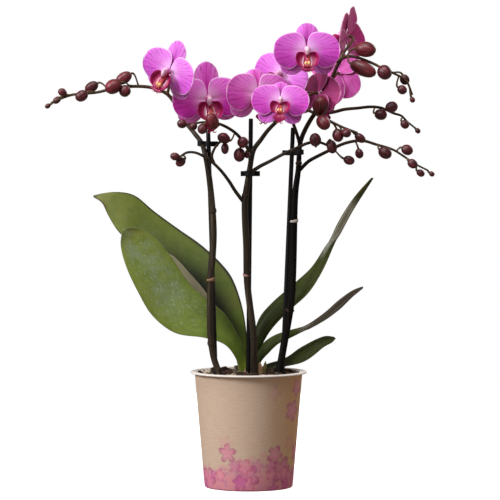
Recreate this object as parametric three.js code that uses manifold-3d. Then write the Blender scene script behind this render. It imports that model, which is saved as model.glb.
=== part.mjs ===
// A potted moth orchid: a clear growing pot of bark in a printed cover pot, five leaves,
// three flower spikes clipped to sticks, nine open flowers and many buds.
// Millimetres, +Z up. The origin is the middle of the cover pot's flat base,
// +X is to the right and -Y is towards the viewer.

import * as THREE from "three";
import { mergeVertices } from "three/addons/utils/BufferGeometryUtils.js";
import Module from "manifold-3d";

const wasm = await Module();
wasm.setup();

// Driving dimensions
const clearance = 0.3;
const roundSides = 32;
const coverPot = { footRadius: 34.2, rimRadius: 41.6, height: 88, wall: 0.8, base: 1, footRound: 1.6 };
const clearPot = { rimRadius: 45, rimThick: 1.4, wall: 0.8, base: 1.2, sideGap: 0.4 };
const drain = { holes: 4, radius: 3, ringRadius: 19 };
const bark = {
  top: 86, chips: 10, seed: 9, chipLong: [9, 15], chipWide: [7, 10], chipThick: [4, 6],
  wellRadius: 12, wellDepth: 2.5, chipReach: 34.5, chipTurn: 0.5, chipRise: 3,
};
const crown = {
  x: 0.5, y: 9, radius: 7, foot: 66, top: 97, shares: [0.7, 1, 1, 0.86, 0.5],
  husks: 6, huskFoot: 86, huskTop: 91, huskReach: 9.2, huskRadii: [2, 0.6],
};
const root = { count: 4, radius: 2.2, foot: 14, spread: 24 };
const stick = { radius: 1.5, foot: 16, sides: 8 };
const clip = { height: 4.2, wall: 1.3, wingLength: 15, wingThick: 1.3, bridge: 3, stemRadius: 2.4 };
const leafThickness = 1.4;
const petalThickness = 0.8;
const petalRoot = 1.3;
const hub = { radius: 2.4, z: -0.2, height: 3.6 };
const stalkRadius = 0.7;
const stemSteps = 21;
const mainSides = 5;
const nodeSwell = 0.8;

// Small helpers

const vector = (point) => new THREE.Vector3(...point);

// Repeatable numbers from 0 to 1.
function randomFrom(seed) {
  let state = seed;
  return () => {
    state = (state * 16807) % 2147483647;
    return state / 2147483647;
  };
}

const between = (low, high, share) => low + (high - low) * share;

// A value read from evenly spaced stations.
function atShare(values, share) {
  const place = Math.min(Math.max(share, 0), 1) * (values.length - 1);
  const index = Math.min(Math.floor(place), values.length - 2);
  return between(values[index], values[index + 1], place - index);
}

function meshGeometry(points, triangles) {
  const geometry = new THREE.BufferGeometry();
  geometry.setAttribute("position", new THREE.Float32BufferAttribute(points.flatMap((p) => p.toArray()), 3));
  geometry.setIndex(triangles);
  return geometry;
}

// The solid of a closed geometry, with its shared vertices merged.
function solidOf(geometry) {
  const bare = geometry.clone();
  bare.deleteAttribute("normal");
  bare.deleteAttribute("uv");
  const merged = mergeVertices(bare, 1e-4);
  const index = merged.index.array;
  const corners = [];
  for (let i = 0; i < index.length; i += 3) {
    const [a, b, c] = [index[i], index[i + 1], index[i + 2]];
    if (a !== b && b !== c && c !== a) {
      corners.push(a, b, c);
    }
  }
  const vertProperties = new Float32Array(merged.attributes.position.array);
  const triVerts = new Uint32Array(corners);
  const solid = new wasm.Manifold(new wasm.Mesh({ numProp: 3, vertProperties, triVerts }));
  return solid.volume() < 0 ? solidOf(turnedOut(merged)) : solid;
}

function turnedOut(geometry) {
  const index = geometry.index.array;
  for (let i = 0; i < index.length; i += 3) {
    [index[i], index[i + 1]] = [index[i + 1], index[i]];
  }
  return geometry;
}

function joined(solids) {
  return solids.reduce((whole, solid) => whole.add(solid));
}

// The largest body that a cut leaves.
function largest(solid) {
  return solid.decompose().sort((a, b) => b.volume() - a.volume())[0];
}

function geometryOf(solid) {
  const mesh = solid.getMesh();
  const geometry = new THREE.BufferGeometry();
  geometry.setAttribute("position", new THREE.BufferAttribute(mesh.vertProperties, 3));
  geometry.setIndex(new THREE.BufferAttribute(mesh.triVerts, 1));
  geometry.computeVertexNormals();
  return geometry;
}

function material(colour, roughness, metalness = 0) {
  return new THREE.MeshStandardMaterial({ color: colour, roughness, metalness });
}

function piece(name, solid, finish) {
  const mesh = new THREE.Mesh(geometryOf(solid), finish);
  mesh.name = name;
  return mesh;
}

// A round stem through stations, each a centre and a radius, closed at both ends.
function stem(stations, sides, extra = 0) {
  const points = [];
  const triangles = [];
  const last = stations.length - 1;
  let side = null;
  stations.forEach(({ centre, radius }, i) => {
    const [before, after] = [stations[Math.max(i - 1, 0)], stations[Math.min(i + 1, last)]];
    const along = after.centre.clone().sub(before.centre).normalize();
    if (!side) {
      side = Math.abs(along.y) < 0.9 ? new THREE.Vector3(0, 1, 0) : new THREE.Vector3(1, 0, 0);
    }
    side = side.clone().addScaledVector(along, -side.dot(along)).normalize();
    const other = along.clone().cross(side);
    for (let k = 0; k < sides; k++) {
      const angle = (k / sides) * 2 * Math.PI;
      const point = centre.clone().addScaledVector(side, Math.cos(angle) * (radius + extra));
      points.push(point.addScaledVector(other, Math.sin(angle) * (radius + extra)));
    }
  });
  const start = points.push(stations[0].centre.clone()) - 1;
  const end = points.push(stations[last].centre.clone()) - 1;
  for (let k = 0; k < sides; k++) {
    const next = (k + 1) % sides;
    for (let i = 0; i < last; i++) {
      const [a, b] = [i * sides + k, i * sides + next];
      triangles.push(a, b, b + sides, a, b + sides, a + sides);
    }
    triangles.push(start, next, k, end, last * sides + k, last * sides + next);
  }
  return solidOf(meshGeometry(points, triangles));
}

// Evenly spaced stations on a curve, for radii given at even shares of its length.
function stationsOn(curve, radii, steps) {
  const stations = [];
  for (let i = 0; i <= steps; i++) {
    stations.push({ centre: curve.getPointAt(i / steps), radius: atShare(radii, i / steps) });
  }
  return stations;
}

function rod(from, to, radii, sides, extra = 0) {
  const line = new THREE.LineCurve3(vector(from), vector(to));
  return stem(stationsOn(line, radii, radii.length - 1), sides, extra);
}

const smoothCurve = (path) => new THREE.CatmullRomCurve3(path.map(vector), false, "centripetal");

// A blade with two faces that are split into triangles alike. surface(u, v) gives its middle,
// u from root to tip and v from -1 to 1 across.
function blade(surface, lengthSteps, widthSteps, thickness) {
  const nudge = 0.002;
  const points = [];
  const triangles = [];
  for (const face of [1, -1]) {
    for (let i = 0; i <= lengthSteps; i++) {
      for (let j = 0; j <= widthSteps; j++) {
        const u = i / lengthSteps;
        const v = -1 + (2 * j) / widthSteps;
        const along = surface(Math.min(u + nudge, 1), v).sub(surface(Math.max(u - nudge, 0), v));
        const across = surface(u, v + nudge).sub(surface(u, v - nudge));
        const normal = along.cross(across).normalize();
        points.push(surface(u, v).addScaledVector(normal, (face * thickness(u)) / 2));
      }
    }
  }
  const row = widthSteps + 1;
  const back = (lengthSteps + 1) * row;
  for (let i = 0; i < lengthSteps; i++) {
    for (let j = 0; j < widthSteps; j++) {
      const a = i * row + j;
      triangles.push(a, a + row, a + row + 1, a, a + row + 1, a + 1);
      triangles.push(back + a, back + a + row + 1, back + a + row);
      triangles.push(back + a, back + a + 1, back + a + row + 1);
    }
  }
  const edge = [];
  for (let j = 0; j < widthSteps; j++) {
    edge.push(j);
  }
  for (let i = 0; i < lengthSteps; i++) {
    edge.push(i * row + widthSteps);
  }
  for (let j = widthSteps; j > 0; j--) {
    edge.push(lengthSteps * row + j);
  }
  for (let i = lengthSteps; i > 0; i--) {
    edge.push(i * row);
  }
  edge.forEach((a, k) => {
    const b = edge[(k + 1) % edge.length];
    triangles.push(a, b, back + b, a, back + b, back + a);
  });
  return solidOf(meshGeometry(points, triangles));
}

// A blade's middle surface between two edge curves. Its middle is pushed out by the bulges, square
// to the blade or along fall, so that the section is a trough.
function railSurface(leftPath, rightPath, bulges, extra = 0, fall = null) {
  const left = smoothCurve(leftPath);
  const right = smoothCurve(rightPath);
  return (u, v) => {
    const a = left.getPoint(u);
    const b = right.getPoint(u);
    const along = left.getTangent(u).add(right.getTangent(u));
    const outward = fall ? vector(fall).normalize() : along.cross(b.clone().sub(a)).normalize();
    const middle = a.clone().add(b).multiplyScalar(0.5);
    const across = b.clone().sub(a);
    const half = (across.length() / 2 + extra) * v;
    const point = middle.addScaledVector(across.normalize(), half);
    return point.addScaledVector(outward, atShare(bulges, u) * (1 - v * v));
  };
}

// Pots, built as turned profiles

const sleeveSlope = (coverPot.rimRadius - coverPot.footRadius) / coverPot.height;
const sleeveRadius = (z) => coverPot.footRadius + sleeveSlope * z;
const clearPotFoot = coverPot.base + clearance;
const clearPotRadius = (z) => sleeveRadius(z) - coverPot.wall - clearPot.sideGap;
const rimUnderside = coverPot.height + clearance;
const rimTop = rimUnderside + clearPot.rimThick;

function turned(profile) {
  const points = profile.map(([radius, z]) => new THREE.Vector2(radius, z));
  return solidOf(new THREE.LatheGeometry(points, roundSides).rotateX(Math.PI / 2));
}

function coverPotSolid() {
  const { footRadius, rimRadius, height, wall, base, footRound } = coverPot;
  return turned([
    [0, 0],
    [footRadius - footRound, 0],
    [footRadius - footRound * 0.3, footRound * 0.3],
    [sleeveRadius(footRound), footRound],
    [rimRadius, height],
    [rimRadius - wall, height],
    [sleeveRadius(base) - wall, base],
    [0, base],
  ]);
}

function clearPotSolid() {
  const { rimRadius, wall, base, rimThick } = clearPot;
  const inside = clearPotFoot + base;
  const cup = turned([
    [0, clearPotFoot],
    [clearPotRadius(clearPotFoot) - 2, clearPotFoot],
    [clearPotRadius(clearPotFoot + 2), clearPotFoot + 2],
    [clearPotRadius(rimUnderside) - clearance, rimUnderside],
    [rimRadius, rimUnderside],
    [rimRadius - 0.6, rimTop],
    [clearPotRadius(rimTop) - wall, rimTop],
    [clearPotRadius(inside + 2) - wall, inside + 2],
    [clearPotRadius(inside) - wall - 2, inside],
    [0, inside],
  ]);
  const hole = (x, y) => solidOf(
    new THREE.CylinderGeometry(drain.radius, drain.radius, 3 * base, 6)
      .rotateX(Math.PI / 2).translate(x, y, inside - base / 2));
  const holes = [hole(0, 0)];
  for (let i = 0; i < drain.holes; i++) {
    const angle = (i / drain.holes) * 2 * Math.PI;
    holes.push(hole(drain.ringRadius * Math.cos(angle), drain.ringRadius * Math.sin(angle)));
  }
  return cup.subtract(joined(holes));
}

// Sticks stand straight and lean a little, from inside the bark to the clips

const sticks = {
  stick_left: { bottom: [-25.4, -14, 90], top: [-31, -14, 276] },
  stick_middle: { bottom: [-0.3, -2, 90], top: [1.8, -2, 285] },
  stick_right: { bottom: [26.3, 1, 90], top: [34.3, 1, 278] },
};

function stickSolid({ bottom, top }, extra = 0) {
  const direction = vector(top).sub(vector(bottom));
  const foot = vector(bottom).addScaledVector(direction, (stick.foot - bottom[2]) / direction.z);
  return rod(foot.toArray(), top, [stick.radius, stick.radius], stick.sides, extra);
}

// Open flowers: the place of the middle, where each faces and its size.
// turn is to the viewer's right, tilt is upwards, roll is anticlockwise, all in degrees.
// sepals holds the top sepal's length and how far its tip bends forward, then the low sepals' angle.
// bend is how far the petals' tips bend forward and low the length of the low sepals, where not as usual.

const flowers = {
  bloom_1: { at: [-59.8, -30, 320.5], turn: -35, tilt: -4, roll: -24, size: 1, sepals: [25, -2, 128] },
  bloom_2: { at: [-31.5, -17, 299.5], turn: 12, tilt: -6, roll: 4, size: 1.12, sepals: [26, -1, 120] },
  bloom_3: { at: [6.8, -24, 303.8], turn: 22, tilt: 0, roll: 0, size: 1.06, sepals: [18, -5, 128] },
  bloom_4: { at: [24, -42, 297.5], turn: 0, tilt: 14, roll: -3, size: 0.88, sepals: [19, -4, 134] },
  bloom_5: { at: [44.3, -27, 336], turn: 2, tilt: 4, roll: 0, size: 1.02, sepals: [22, -4, 126] },
  bloom_6: { at: [26, 3, 318], turn: -30, tilt: 8, roll: -24, size: 0.98, sepals: [20, -4, 128] },
  bloom_7: { at: [54.5, -8, 304], turn: 124, tilt: -10, roll: 8, size: 1, sepals: [24, -2, 128] },
  bloom_8: { at: [76.5, 28, 349], turn: -114, tilt: 3, roll: 20, size: 1, sepals: [25, -1, 122], bend: -6 },
  bloom_9: { at: [71, 30, 320], turn: 150, tilt: -12, roll: 50, size: 0.88, sepals: [23, -2, 128],
    low: 29 },
};

function flowerGroup({ at, turn, tilt, roll, size }) {
  const group = new THREE.Group();
  const degrees = Math.PI / 180;
  const stand = new THREE.Quaternion().setFromEuler(new THREE.Euler(Math.PI / 2, 0, 0));
  const facing = new THREE.Quaternion().setFromEuler(
    new THREE.Euler(-tilt * degrees, turn * degrees, roll * degrees, "YXZ"));
  group.quaternion.copy(stand.multiply(facing));
  group.position.set(...at);
  group.scale.setScalar(size);
  group.updateMatrixWorld(true);
  return group;
}

const flowerGroups = {};
for (const [name, flower] of Object.entries(flowers)) {
  flowerGroups[name] = flowerGroup(flower);
}

// A petal's outline: narrow claw, widest part at peak, round tip.
function outline(u, claw, peak, tipPower) {
  if (u < peak) {
    return claw + (1 - claw) * Math.sin((u / peak) * (Math.PI / 2));
  }
  const rest = (u - peak) / (1 - peak);
  return Math.max(Math.pow(1 - Math.pow(rest, 2.2), tipPower), 0.05);
}

// angle is from straight up, towards the right as the flower is seen.
// shoulder draws the upper side of a petal back towards the middle line of the flower.
function tepal(form) {
  const { length, half, angle, lift, arch, cup, peak, claw, tipPower, wave, shoulder } = form;
  const turnAngle = (-angle * Math.PI) / 180;
  const surface = (u, v) => {
    const spaced = 1 - Math.pow(1 - u, 1.5);
    const share = outline(spaced, claw, peak, tipPower);
    const x = half * share * v;
    const upper = share * Math.max(0, -Math.sign(angle) * v);
    const y = petalRoot + (length - petalRoot) * spaced - shoulder * upper * Math.pow(1 - spaced, 0.8);
    const ripple = wave * Math.sin(spaced * 9 + angle) * v * v * spaced;
    const z = lift + arch * spaced * spaced - cup * v * v * share * share + ripple;
    return new THREE.Vector3(x, y, z).applyAxisAngle(new THREE.Vector3(0, 0, 1), turnAngle);
  };
  return blade(surface, form.steps, form.across, () => petalThickness);
}

const petal = {
  length: 25, half: 14, lift: 1, arch: 1.6, cup: 1.6, peak: 0.46, claw: 0.12, tipPower: 0.5, wave: 0.4,
  shoulder: 7, steps: 5, across: 2,
};
const sepal = {
  length: 23.5, half: 8.8, lift: -1, arch: -2.2, cup: 1, peak: 0.55, claw: 0.12, tipPower: 0.62, wave: 0.2,
  shoulder: 0, steps: 3, across: 2,
};
const petalAngle = 85;

function petalsSolid({ sepals: [dorsal, arch, lateral], bend = petal.arch, low = sepal.length }) {
  const blades = [
    tepal({ ...petal, angle: petalAngle, arch: bend }),
    tepal({ ...petal, angle: -petalAngle, arch: bend }),
    tepal({ ...sepal, angle: 0, length: dorsal, arch }),
    tepal({ ...sepal, angle: lateral, length: low }),
    tepal({ ...sepal, angle: -lateral, length: low }),
  ];
  const middle = solidOf(new THREE.CylinderGeometry(hub.radius, hub.radius * 0.8, hub.height, 5)
    .rotateX(Math.PI / 2).rotateZ(Math.PI / 2 + Math.PI / 5).translate(0, 0, hub.z));
  return joined([middle, ...blades]);
}

const mirrored = (path) => path.map(([x, y, z]) => [-x, y, z]);

const lip = {
  sideLow: [[1, -2.6, 3.6], [2.4, -6.5, 5.6], [2.6, -10.5, 8], [1.2, -13, 9.6]],
  sideHigh: [[2.4, -0.8, 4.4], [7, -0.9, 7.6], [8.9, -5.8, 10.4], [7, -11, 11.2], [1.8, -13.6, 10.2]],
  sideBulge: [-0.3, -1.8, -2.4, -1.4, 0],
  frontEdge: [[1, -11, 8.6], [2.8, -13.6, 10.4], [6.2, -16, 11.2], [3.8, -18.8, 10.8], [0.7, -21, 10.2]],
  frontBulge: [-0.4, -1, -0.8, -0.3, 0],
  column: [[0, 1, 2.4], [0, 1.6, 5.4], [0, -1.6, 8.6]],
  columnRadii: [1.6, 2.2, 1.9],
  foot: [[0, -0.2, 3], [0, -13, 9.6]],
  footRadii: [1.6, 1.8],
  callus: { at: [0, -9.8, 9.6], radius: 2.2 },
};

function lipSolid() {
  const thick = () => petalThickness;
  const { sideLow, sideHigh, sideBulge, frontEdge, frontBulge } = lip;
  const side = blade(railSurface(sideLow, sideHigh, sideBulge), 3, 1, thick);
  const otherSide = blade(railSurface(mirrored(sideHigh), mirrored(sideLow), sideBulge), 3, 1, thick);
  const front = blade(railSurface(mirrored(frontEdge), frontEdge, frontBulge), 3, 1, thick);
  const column = stem(stationsOn(smoothCurve(lip.column), lip.columnRadii, 2), 4);
  const callus = solidOf(new THREE.OctahedronGeometry(lip.callus.radius).translate(...lip.callus.at));
  const foot = rod(...lip.foot, lip.footRadii, 4);
  return joined([column, foot, side, otherSide, front, callus]);
}

// Flower spikes. A branch leaves its spike where its path starts. A bud is a place, its length and
// width, and the way that its tip points. Its stalk leaves the branch at the nearest point.

const spikes = {
  spike_left: {
    main: {
      path: [
        [-19, -21, 76], [-21, -21, 90], [-26.5, -20.5, 101], [-29.2, -20.5, 118], [-29.5, -20, 140],
        [-29, -20, 164], [-27.6, -20, 181], [-26.9, -19, 198], [-28.2, -19, 222], [-31, -19, 246],
        [-33.4, -17.8, 258], [-36, -10, 266], [-42, -2, 274], [-50, 3, 284], [-56, 5, 295],
        [-63, 4, 304], [-76, 0, 309], [-99, -3, 309],
        [-117, -5, 305], [-136, -6, 303], [-152, -6, 297],
      ],
      radii: [2.6, 2.5, 2.6, 2.8, 2.7, 2.3, 1.8, 1.5, 1.3, 1.1, 0.8],
      buds: [
        { at: [-104, -9, 309], size: [13, 11], aim: [-0.85, -0.1, -0.45] },
        { at: [-96, -5, 316], size: [13, 9], aim: [-0.8, -0.2, -0.5] },
        { at: [-95, -9, 306], size: [9, 9], aim: [-0.3, -0.6, -0.7] },
        { at: [-128, -9, 303], size: [10, 8.5], aim: [-0.8, -0.2, -0.5] },
        { at: [-121, -3, 308], size: [11, 8], aim: [-0.8, 0.1, -0.5] },
        { at: [-143, -8, 305], size: [7, 6], aim: [-0.7, -0.2, 0.4] },
        { at: [-147.5, -4, 299], size: [7, 5], aim: [-0.8, 0, -0.6] },
        { at: [-153, -6, 296], size: [4.5, 3.8], aim: [-0.8, 0, -0.5] },
      ],
    },
    branches: [],
    nodes: [0.1, 0.28, 0.45],
    flowers: ["bloom_1", "bloom_2"],
  },
  spike_middle: {
    main: {
      path: [
        [6, -5, 76], [4, -7, 95], [4.2, -8, 111], [3, -8, 126], [1, -8, 141], [-1.1, -8, 160],
        [-1.7, -8, 188], [-2.6, -8, 205], [-2.8, -8, 222], [-0.8, -8, 236], [1, -8, 247], [4, -7, 261],
        [9, -6, 268], [15, -5, 276], [22, -5, 283], [29, -9, 289], [35, -17, 292.5], [40, -22, 293],
        [46, -25, 291], [56, -28, 286], [70, -32, 279], [83, -33, 274],
      ],
      radii: [2.9, 2.7, 2.6, 2.6, 2.6, 2.5, 2.1, 1.6, 1.4, 1.2, 0.8],
      buds: [
        { at: [52, -27, 291], size: [15, 12], aim: [0.1, -0.5, 0.8] },
        { at: [58, -32, 283], size: [13, 10], aim: [0.4, -0.6, -0.6] },
        { at: [68, -32, 272], size: [10, 8.5], aim: [0.2, -0.3, -0.9] },
        { at: [75, -35, 275], size: [8, 7], aim: [0.5, -0.8, -0.2] },
        { at: [84, -32, 272], size: [9, 6.5], aim: [0.8, 0, -0.6] },
      ],
    },
    branches: [
      {
        path: [[-4, -8, 221], [-10, -12, 229], [-15, -16, 237], [-21, -21, 245], [-27, -24, 251],
          [-34, -25, 256], [-41, -25, 259], [-47, -25, 259], [-52, -24, 256]],
        radii: [1.5, 1.3, 1.1, 0.9],
        buds: [
          { at: [-56, -26, 256], size: [7.5, 6], aim: [-1, 0, 0.2] },
          { at: [-52, -22, 252], size: [8, 6.5], aim: [-0.7, 0, -0.5] },
        ],
      },
      {
        path: [[-26, -23.5, 250], [-28, -25, 256], [-26, -25, 262], [-22, -25, 267]],
        radii: [1.2, 1.1, 0.9],
        buds: [
          { at: [-18, -23, 262], size: [8.5, 6], aim: [0, -0.2, -1] },
        ],
      },
      {
        path: [[3, -8, 254], [0, -12, 261], [-4, -16, 267], [-9, -21, 273], [-16, -26, 278], [-23, -30, 281],
          [-30, -33, 282], [-36, -34, 282], [-42, -34, 281], [-46, -34, 281]],
        radii: [1.5, 1.3, 1.1, 0.8],
        buds: [
          { at: [-48, -35, 281], size: [7.5, 7], aim: [-0.8, -0.3, 0.1] },
          { at: [-42, -38, 279], size: [6.5, 6], aim: [-0.5, -0.6, -0.4] },
          { at: [-35, -38, 277], size: [8, 7.5], aim: [-0.3, -0.5, -0.7] },
          { at: [-28, -38, 283], size: [13, 10], aim: [-0.3, -0.5, 0.7] },
          { at: [-19, -26, 270], size: [10, 8], aim: [-0.7, -0.3, 0.3] },
          { at: [-5, -21, 268], size: [8.5, 8.5], aim: [0.5, -0.5, 0.1] },
          { at: [-7, -17, 257], size: [10.5, 9], aim: [-0.1, -0.3, -1] },
          { at: [-1, -15, 257], size: [5, 5], aim: [0.3, -0.2, -1] },
        ],
      },
      {
        path: [[2, -8, 244], [10, -12, 249], [16, -14, 252], [27, -18, 258], [36, -19, 262], [45, -19, 266],
          [53, -19, 267], [61, -19, 264], [66, -19, 260]],
        radii: [1.5, 1.3, 1.2, 0.9],
        buds: [
          { at: [51, -22, 268], size: [10, 9], aim: [-0.1, -0.2, 1] },
          { at: [63, -21, 263], size: [10, 8], aim: [0.2, -0.2, -1] },
          { at: [77, -18, 253], size: [8.5, 7], aim: [0.9, -0.2, -0.3] },
        ],
      },
    ],
    nodes: [0.07, 0.25, 0.42],
    flowers: ["bloom_3", "bloom_4", "bloom_7"],
  },
  spike_right: {
    main: {
      path: [
        [24, -5, 76], [24, -5, 90], [26.5, -5, 106], [30, -5, 126], [32.6, -6, 143], [34.2, -6, 160],
        [34.9, -6, 182], [35.3, -6, 205], [36.4, -6, 228], [38.4, -6, 246], [39, -6, 259], [40, -4, 267],
        [43, 1, 275], [48, 8, 284], [54, 16, 295], [60, 21, 310], [66, 15, 323], [72, 6, 331],
        [79, 0, 333], [94, -4, 328], [104, -6, 323], [113, -6, 319], [121, -6, 314], [126, -6, 303],
      ],
      radii: [2.9, 2.8, 2.7, 2.6, 2.6, 2.3, 1.9, 1.7, 1.6, 1.3, 1, 0.8],
      buds: [
        { at: [90, -5, 338], size: [16, 12], aim: [0.95, -0.3, -0.1] },
        { at: [88, -11, 323], size: [21, 11.5], aim: [0.9, -0.2, -0.4] },
        { at: [105, -10, 321], size: [11.5, 11], aim: [0.5, -0.5, -0.6] },
        { at: [120, -4, 315], size: [8, 7.5], aim: [0.4, 0, -0.9] },
        { at: [118, -9, 307], size: [7.5, 7], aim: [0.7, -0.3, -0.4] },
        { at: [126, -6, 302], size: [4.5, 4.2], aim: [0.4, 0, -0.9] },
      ],
    },
    branches: [
      {
        path: [[51.5, 12, 290], [57, 15, 289], [66, 15, 290], [74, 12, 292], [84, 9, 293], [95, 6, 294],
          [103, 4, 293], [112, 3, 289], [118, 2, 287], [122, 2, 283], [128, 1, 278]],
        radii: [1.5, 1.3, 1.1, 0.7],
        buds: [
          { at: [110, 0, 293], size: [9.5, 8.5], aim: [0.9, -0.2, 0.3] },
          { at: [102, 0, 288], size: [9.5, 8.5], aim: [0.9, -0.1, -0.2] },
          { at: [122, 1, 282], size: [7, 6.5], aim: [0.7, 0, -0.7] },
          { at: [129, 1, 277], size: [4.5, 4], aim: [0.7, 0, -0.7] },
        ],
      },
      {
        path: [[39, -6, 245], [46, -8, 252], [53, -10, 256], [61, -11, 260], [74, -12, 266], [87, -13, 268],
          [98, -14, 265], [111, -14, 261], [119, -14, 256], [128, -14, 250], [138, -14, 245]],
        radii: [1.5, 1.3, 1.2, 0.9, 0.7],
        buds: [
          { at: [85, -12, 258], size: [7.5, 6.5], aim: [0.2, -0.2, -1] },
          { at: [105, -16, 261], size: [10.5, 9], aim: [0.8, -0.2, -0.5] },
          { at: [118, -14, 257], size: [9, 8], aim: [0.9, -0.2, -0.4] },
          { at: [126, -15, 251], size: [8, 7], aim: [0.8, -0.2, -0.6] },
          { at: [134, -14, 246], size: [6.5, 5.5], aim: [0.8, 0, -0.5] },
          { at: [139, -14, 244], size: [4.5, 4], aim: [0.8, 0, -0.5] },
        ],
      },
      {
        path: [[40, -5, 263], [37.5, -6, 272], [34, -4, 282], [30, 4, 290], [27.5, 10, 297], [27, 12, 304]],
        radii: [1.4, 1.2, 1],
        buds: [],
      },
    ],
    nodes: [0.1, 0.22, 0.37],
    flowers: ["bloom_5", "bloom_6", "bloom_8", "bloom_9"],
  },
};

// A bud's radius as a share of its width, at shares of its length
const budProfile = [[0.06, 0.3], [0.38, 0.5], [0.78, 0.42], [1, 0.08]];
const budSides = (length) => (length > 12 ? 6 : length > 7.5 ? 5 : 4);

// The place on a curve nearest to a point, then a little back towards the curve's start.
function rootOn(curve, point, back = 0.02) {
  const samples = 200;
  let best = 0;
  const gap = (i) => curve.getPointAt(i / samples).distanceTo(point);
  for (let i = 1; i <= samples; i++) {
    if (gap(i) < gap(best)) {
      best = i;
    }
  }
  return curve.getPointAt(Math.max(best / samples - back, 0));
}

function stalkCurve(start, end, direction) {
  const reach = start.distanceTo(end);
  const leave = start.clone().lerp(end, 0.35).add(new THREE.Vector3(0, 0, reach * 0.12));
  const arrive = end.clone().addScaledVector(direction, -0.35 * reach);
  return new THREE.CubicBezierCurve3(start, leave, arrive, end);
}

// A bud's middle, moved away from the stem that it grows on until it stands clear.
function standClear(curve, at, distance) {
  const nearest = rootOn(curve, at, 0);
  const away = at.clone().sub(nearest);
  return away.length() < distance ? nearest.addScaledVector(away.normalize(), distance) : at;
}

// A bud and its stalk are one stem that swells into the bud.
function budWithStalk(curve, { at, size: [length, width], aim }) {
  const direction = vector(aim).normalize();
  const middle = standClear(curve, vector(at), width / 2 + 1.6);
  const base = middle.addScaledVector(direction, -0.5 * length);
  const start = rootOn(curve, base);
  const steps = start.distanceTo(base) > 9 ? 2 : 1;
  const stations = stationsOn(stalkCurve(start, base, direction), [stalkRadius, stalkRadius], steps);
  budProfile.forEach(([along, share]) => {
    stations.push({ centre: base.clone().addScaledVector(direction, along * length), radius: share * width });
  });
  return stem(stations, budSides(length));
}

// The stalk of an open flower ends just behind the flower's middle.
function flowerStalk(curves, name) {
  const group = flowerGroups[name];
  const direction = new THREE.Vector3(0, 0, 1).applyQuaternion(group.quaternion);
  const behind = (hub.height / 2 - hub.z) * group.scale.x + 2 * clearance;
  const end = vector(flowers[name].at).addScaledVector(direction, -behind);
  const starts = curves.map((curve) => rootOn(curve, end.clone().addScaledVector(direction, -6)));
  starts.sort((a, b) => a.distanceTo(end) - b.distanceTo(end));
  return stem(stationsOn(stalkCurve(starts[0], end, direction), [1.2, 0.9], 3), 4);
}

// The main stem has a collar at each node, widest at its foot.
function mainStem(spike, extra = 0) {
  const curve = smoothCurve(spike.main.path);
  const length = curve.getLength();
  const shares = [];
  for (let i = 0; i <= stemSteps; i++) {
    shares.push({ share: i / stemSteps, swell: 0 });
  }
  for (const share of spike.nodes) {
    shares.push({ share: share - 0.6 / length, swell: 0 });
    shares.push({ share: share + 0.6 / length, swell: nodeSwell });
    shares.push({ share: share + 5 / length, swell: 0.1 });
  }
  shares.sort((a, b) => a.share - b.share);
  const stations = shares.map(({ share, swell }) => (
    { centre: curve.getPointAt(share), radius: atShare(spike.main.radii, share) + swell }));
  return stem(stations, mainSides, extra);
}

function spikeStems(spike, extra = 0) {
  const branchStems = spike.branches.map(({ path, radii }) => (
    stem(stationsOn(smoothCurve(path), radii, path.length - 1), 4, extra)));
  return joined([mainStem(spike, extra), ...branchStems]);
}

function spikeSolid(spike) {
  const runs = [spike.main, ...spike.branches];
  const curves = runs.map((run) => smoothCurve(run.path));
  const parts = [spikeStems(spike)];
  runs.forEach((run, i) => {
    run.buds.forEach((bud) => parts.push(budWithStalk(curves[i], bud)));
  });
  spike.flowers.forEach((name) => parts.push(flowerStalk(curves, name)));
  return joined(parts);
}

// Clips: a collar round stick and stem, with two flat wings.
const clips = {
  clip_left: { stick: "stick_left", spike: "spike_left", height: 265.5 },
  clip_middle: { stick: "stick_middle", spike: "spike_middle", height: 242.5 },
  clip_right: { stick: "stick_right", spike: "spike_right", height: 258.5 },
};

function pointAtHeight(path, height) {
  const curve = smoothCurve(path);
  let share = 0;
  while (curve.getPoint(share).z < height) {
    share += 0.001;
  }
  return curve.getPoint(share);
}

function clipSolid({ stick: stickName, spike: spikeName, height }) {
  const { bottom, top } = sticks[stickName];
  const onStick = vector(bottom).lerp(vector(top), (height - bottom[2]) / (top[2] - bottom[2]));
  const onStem = pointAtHeight(spikes[spikeName].main.path, height);
  const collar = (centre, radius) => solidOf(
    new THREE.CylinderGeometry(radius, radius, clip.height, 8)
      .rotateX(Math.PI / 2).translate(...centre.toArray()));
  const middle = onStick.clone().lerp(onStem, 0.5);
  const reach = onStem.clone().sub(onStick);
  const bridge = solidOf(new THREE.BoxGeometry(reach.length(), clip.bridge, clip.height)
    .rotateZ(Math.atan2(reach.y, reach.x)).translate(...middle.toArray()));
  const wing = solidOf(new THREE.BoxGeometry(clip.wingLength, clip.wingThick, clip.height)
    .translate(onStick.x, onStick.y + stick.radius + clip.wall, height));
  const body = joined([collar(onStick, stick.radius + clip.wall + clearance), bridge, wing,
    collar(onStem, clip.stemRadius + clip.wall + clearance)]);
  const room = stickSolid(sticks[stickName], clearance).add(spikeStems(spikes[spikeName], clearance));
  return largest(body.subtract(room));
}

// Leaves: the near edge and the far edge from root to tip, and the depth of the trough between them

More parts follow.
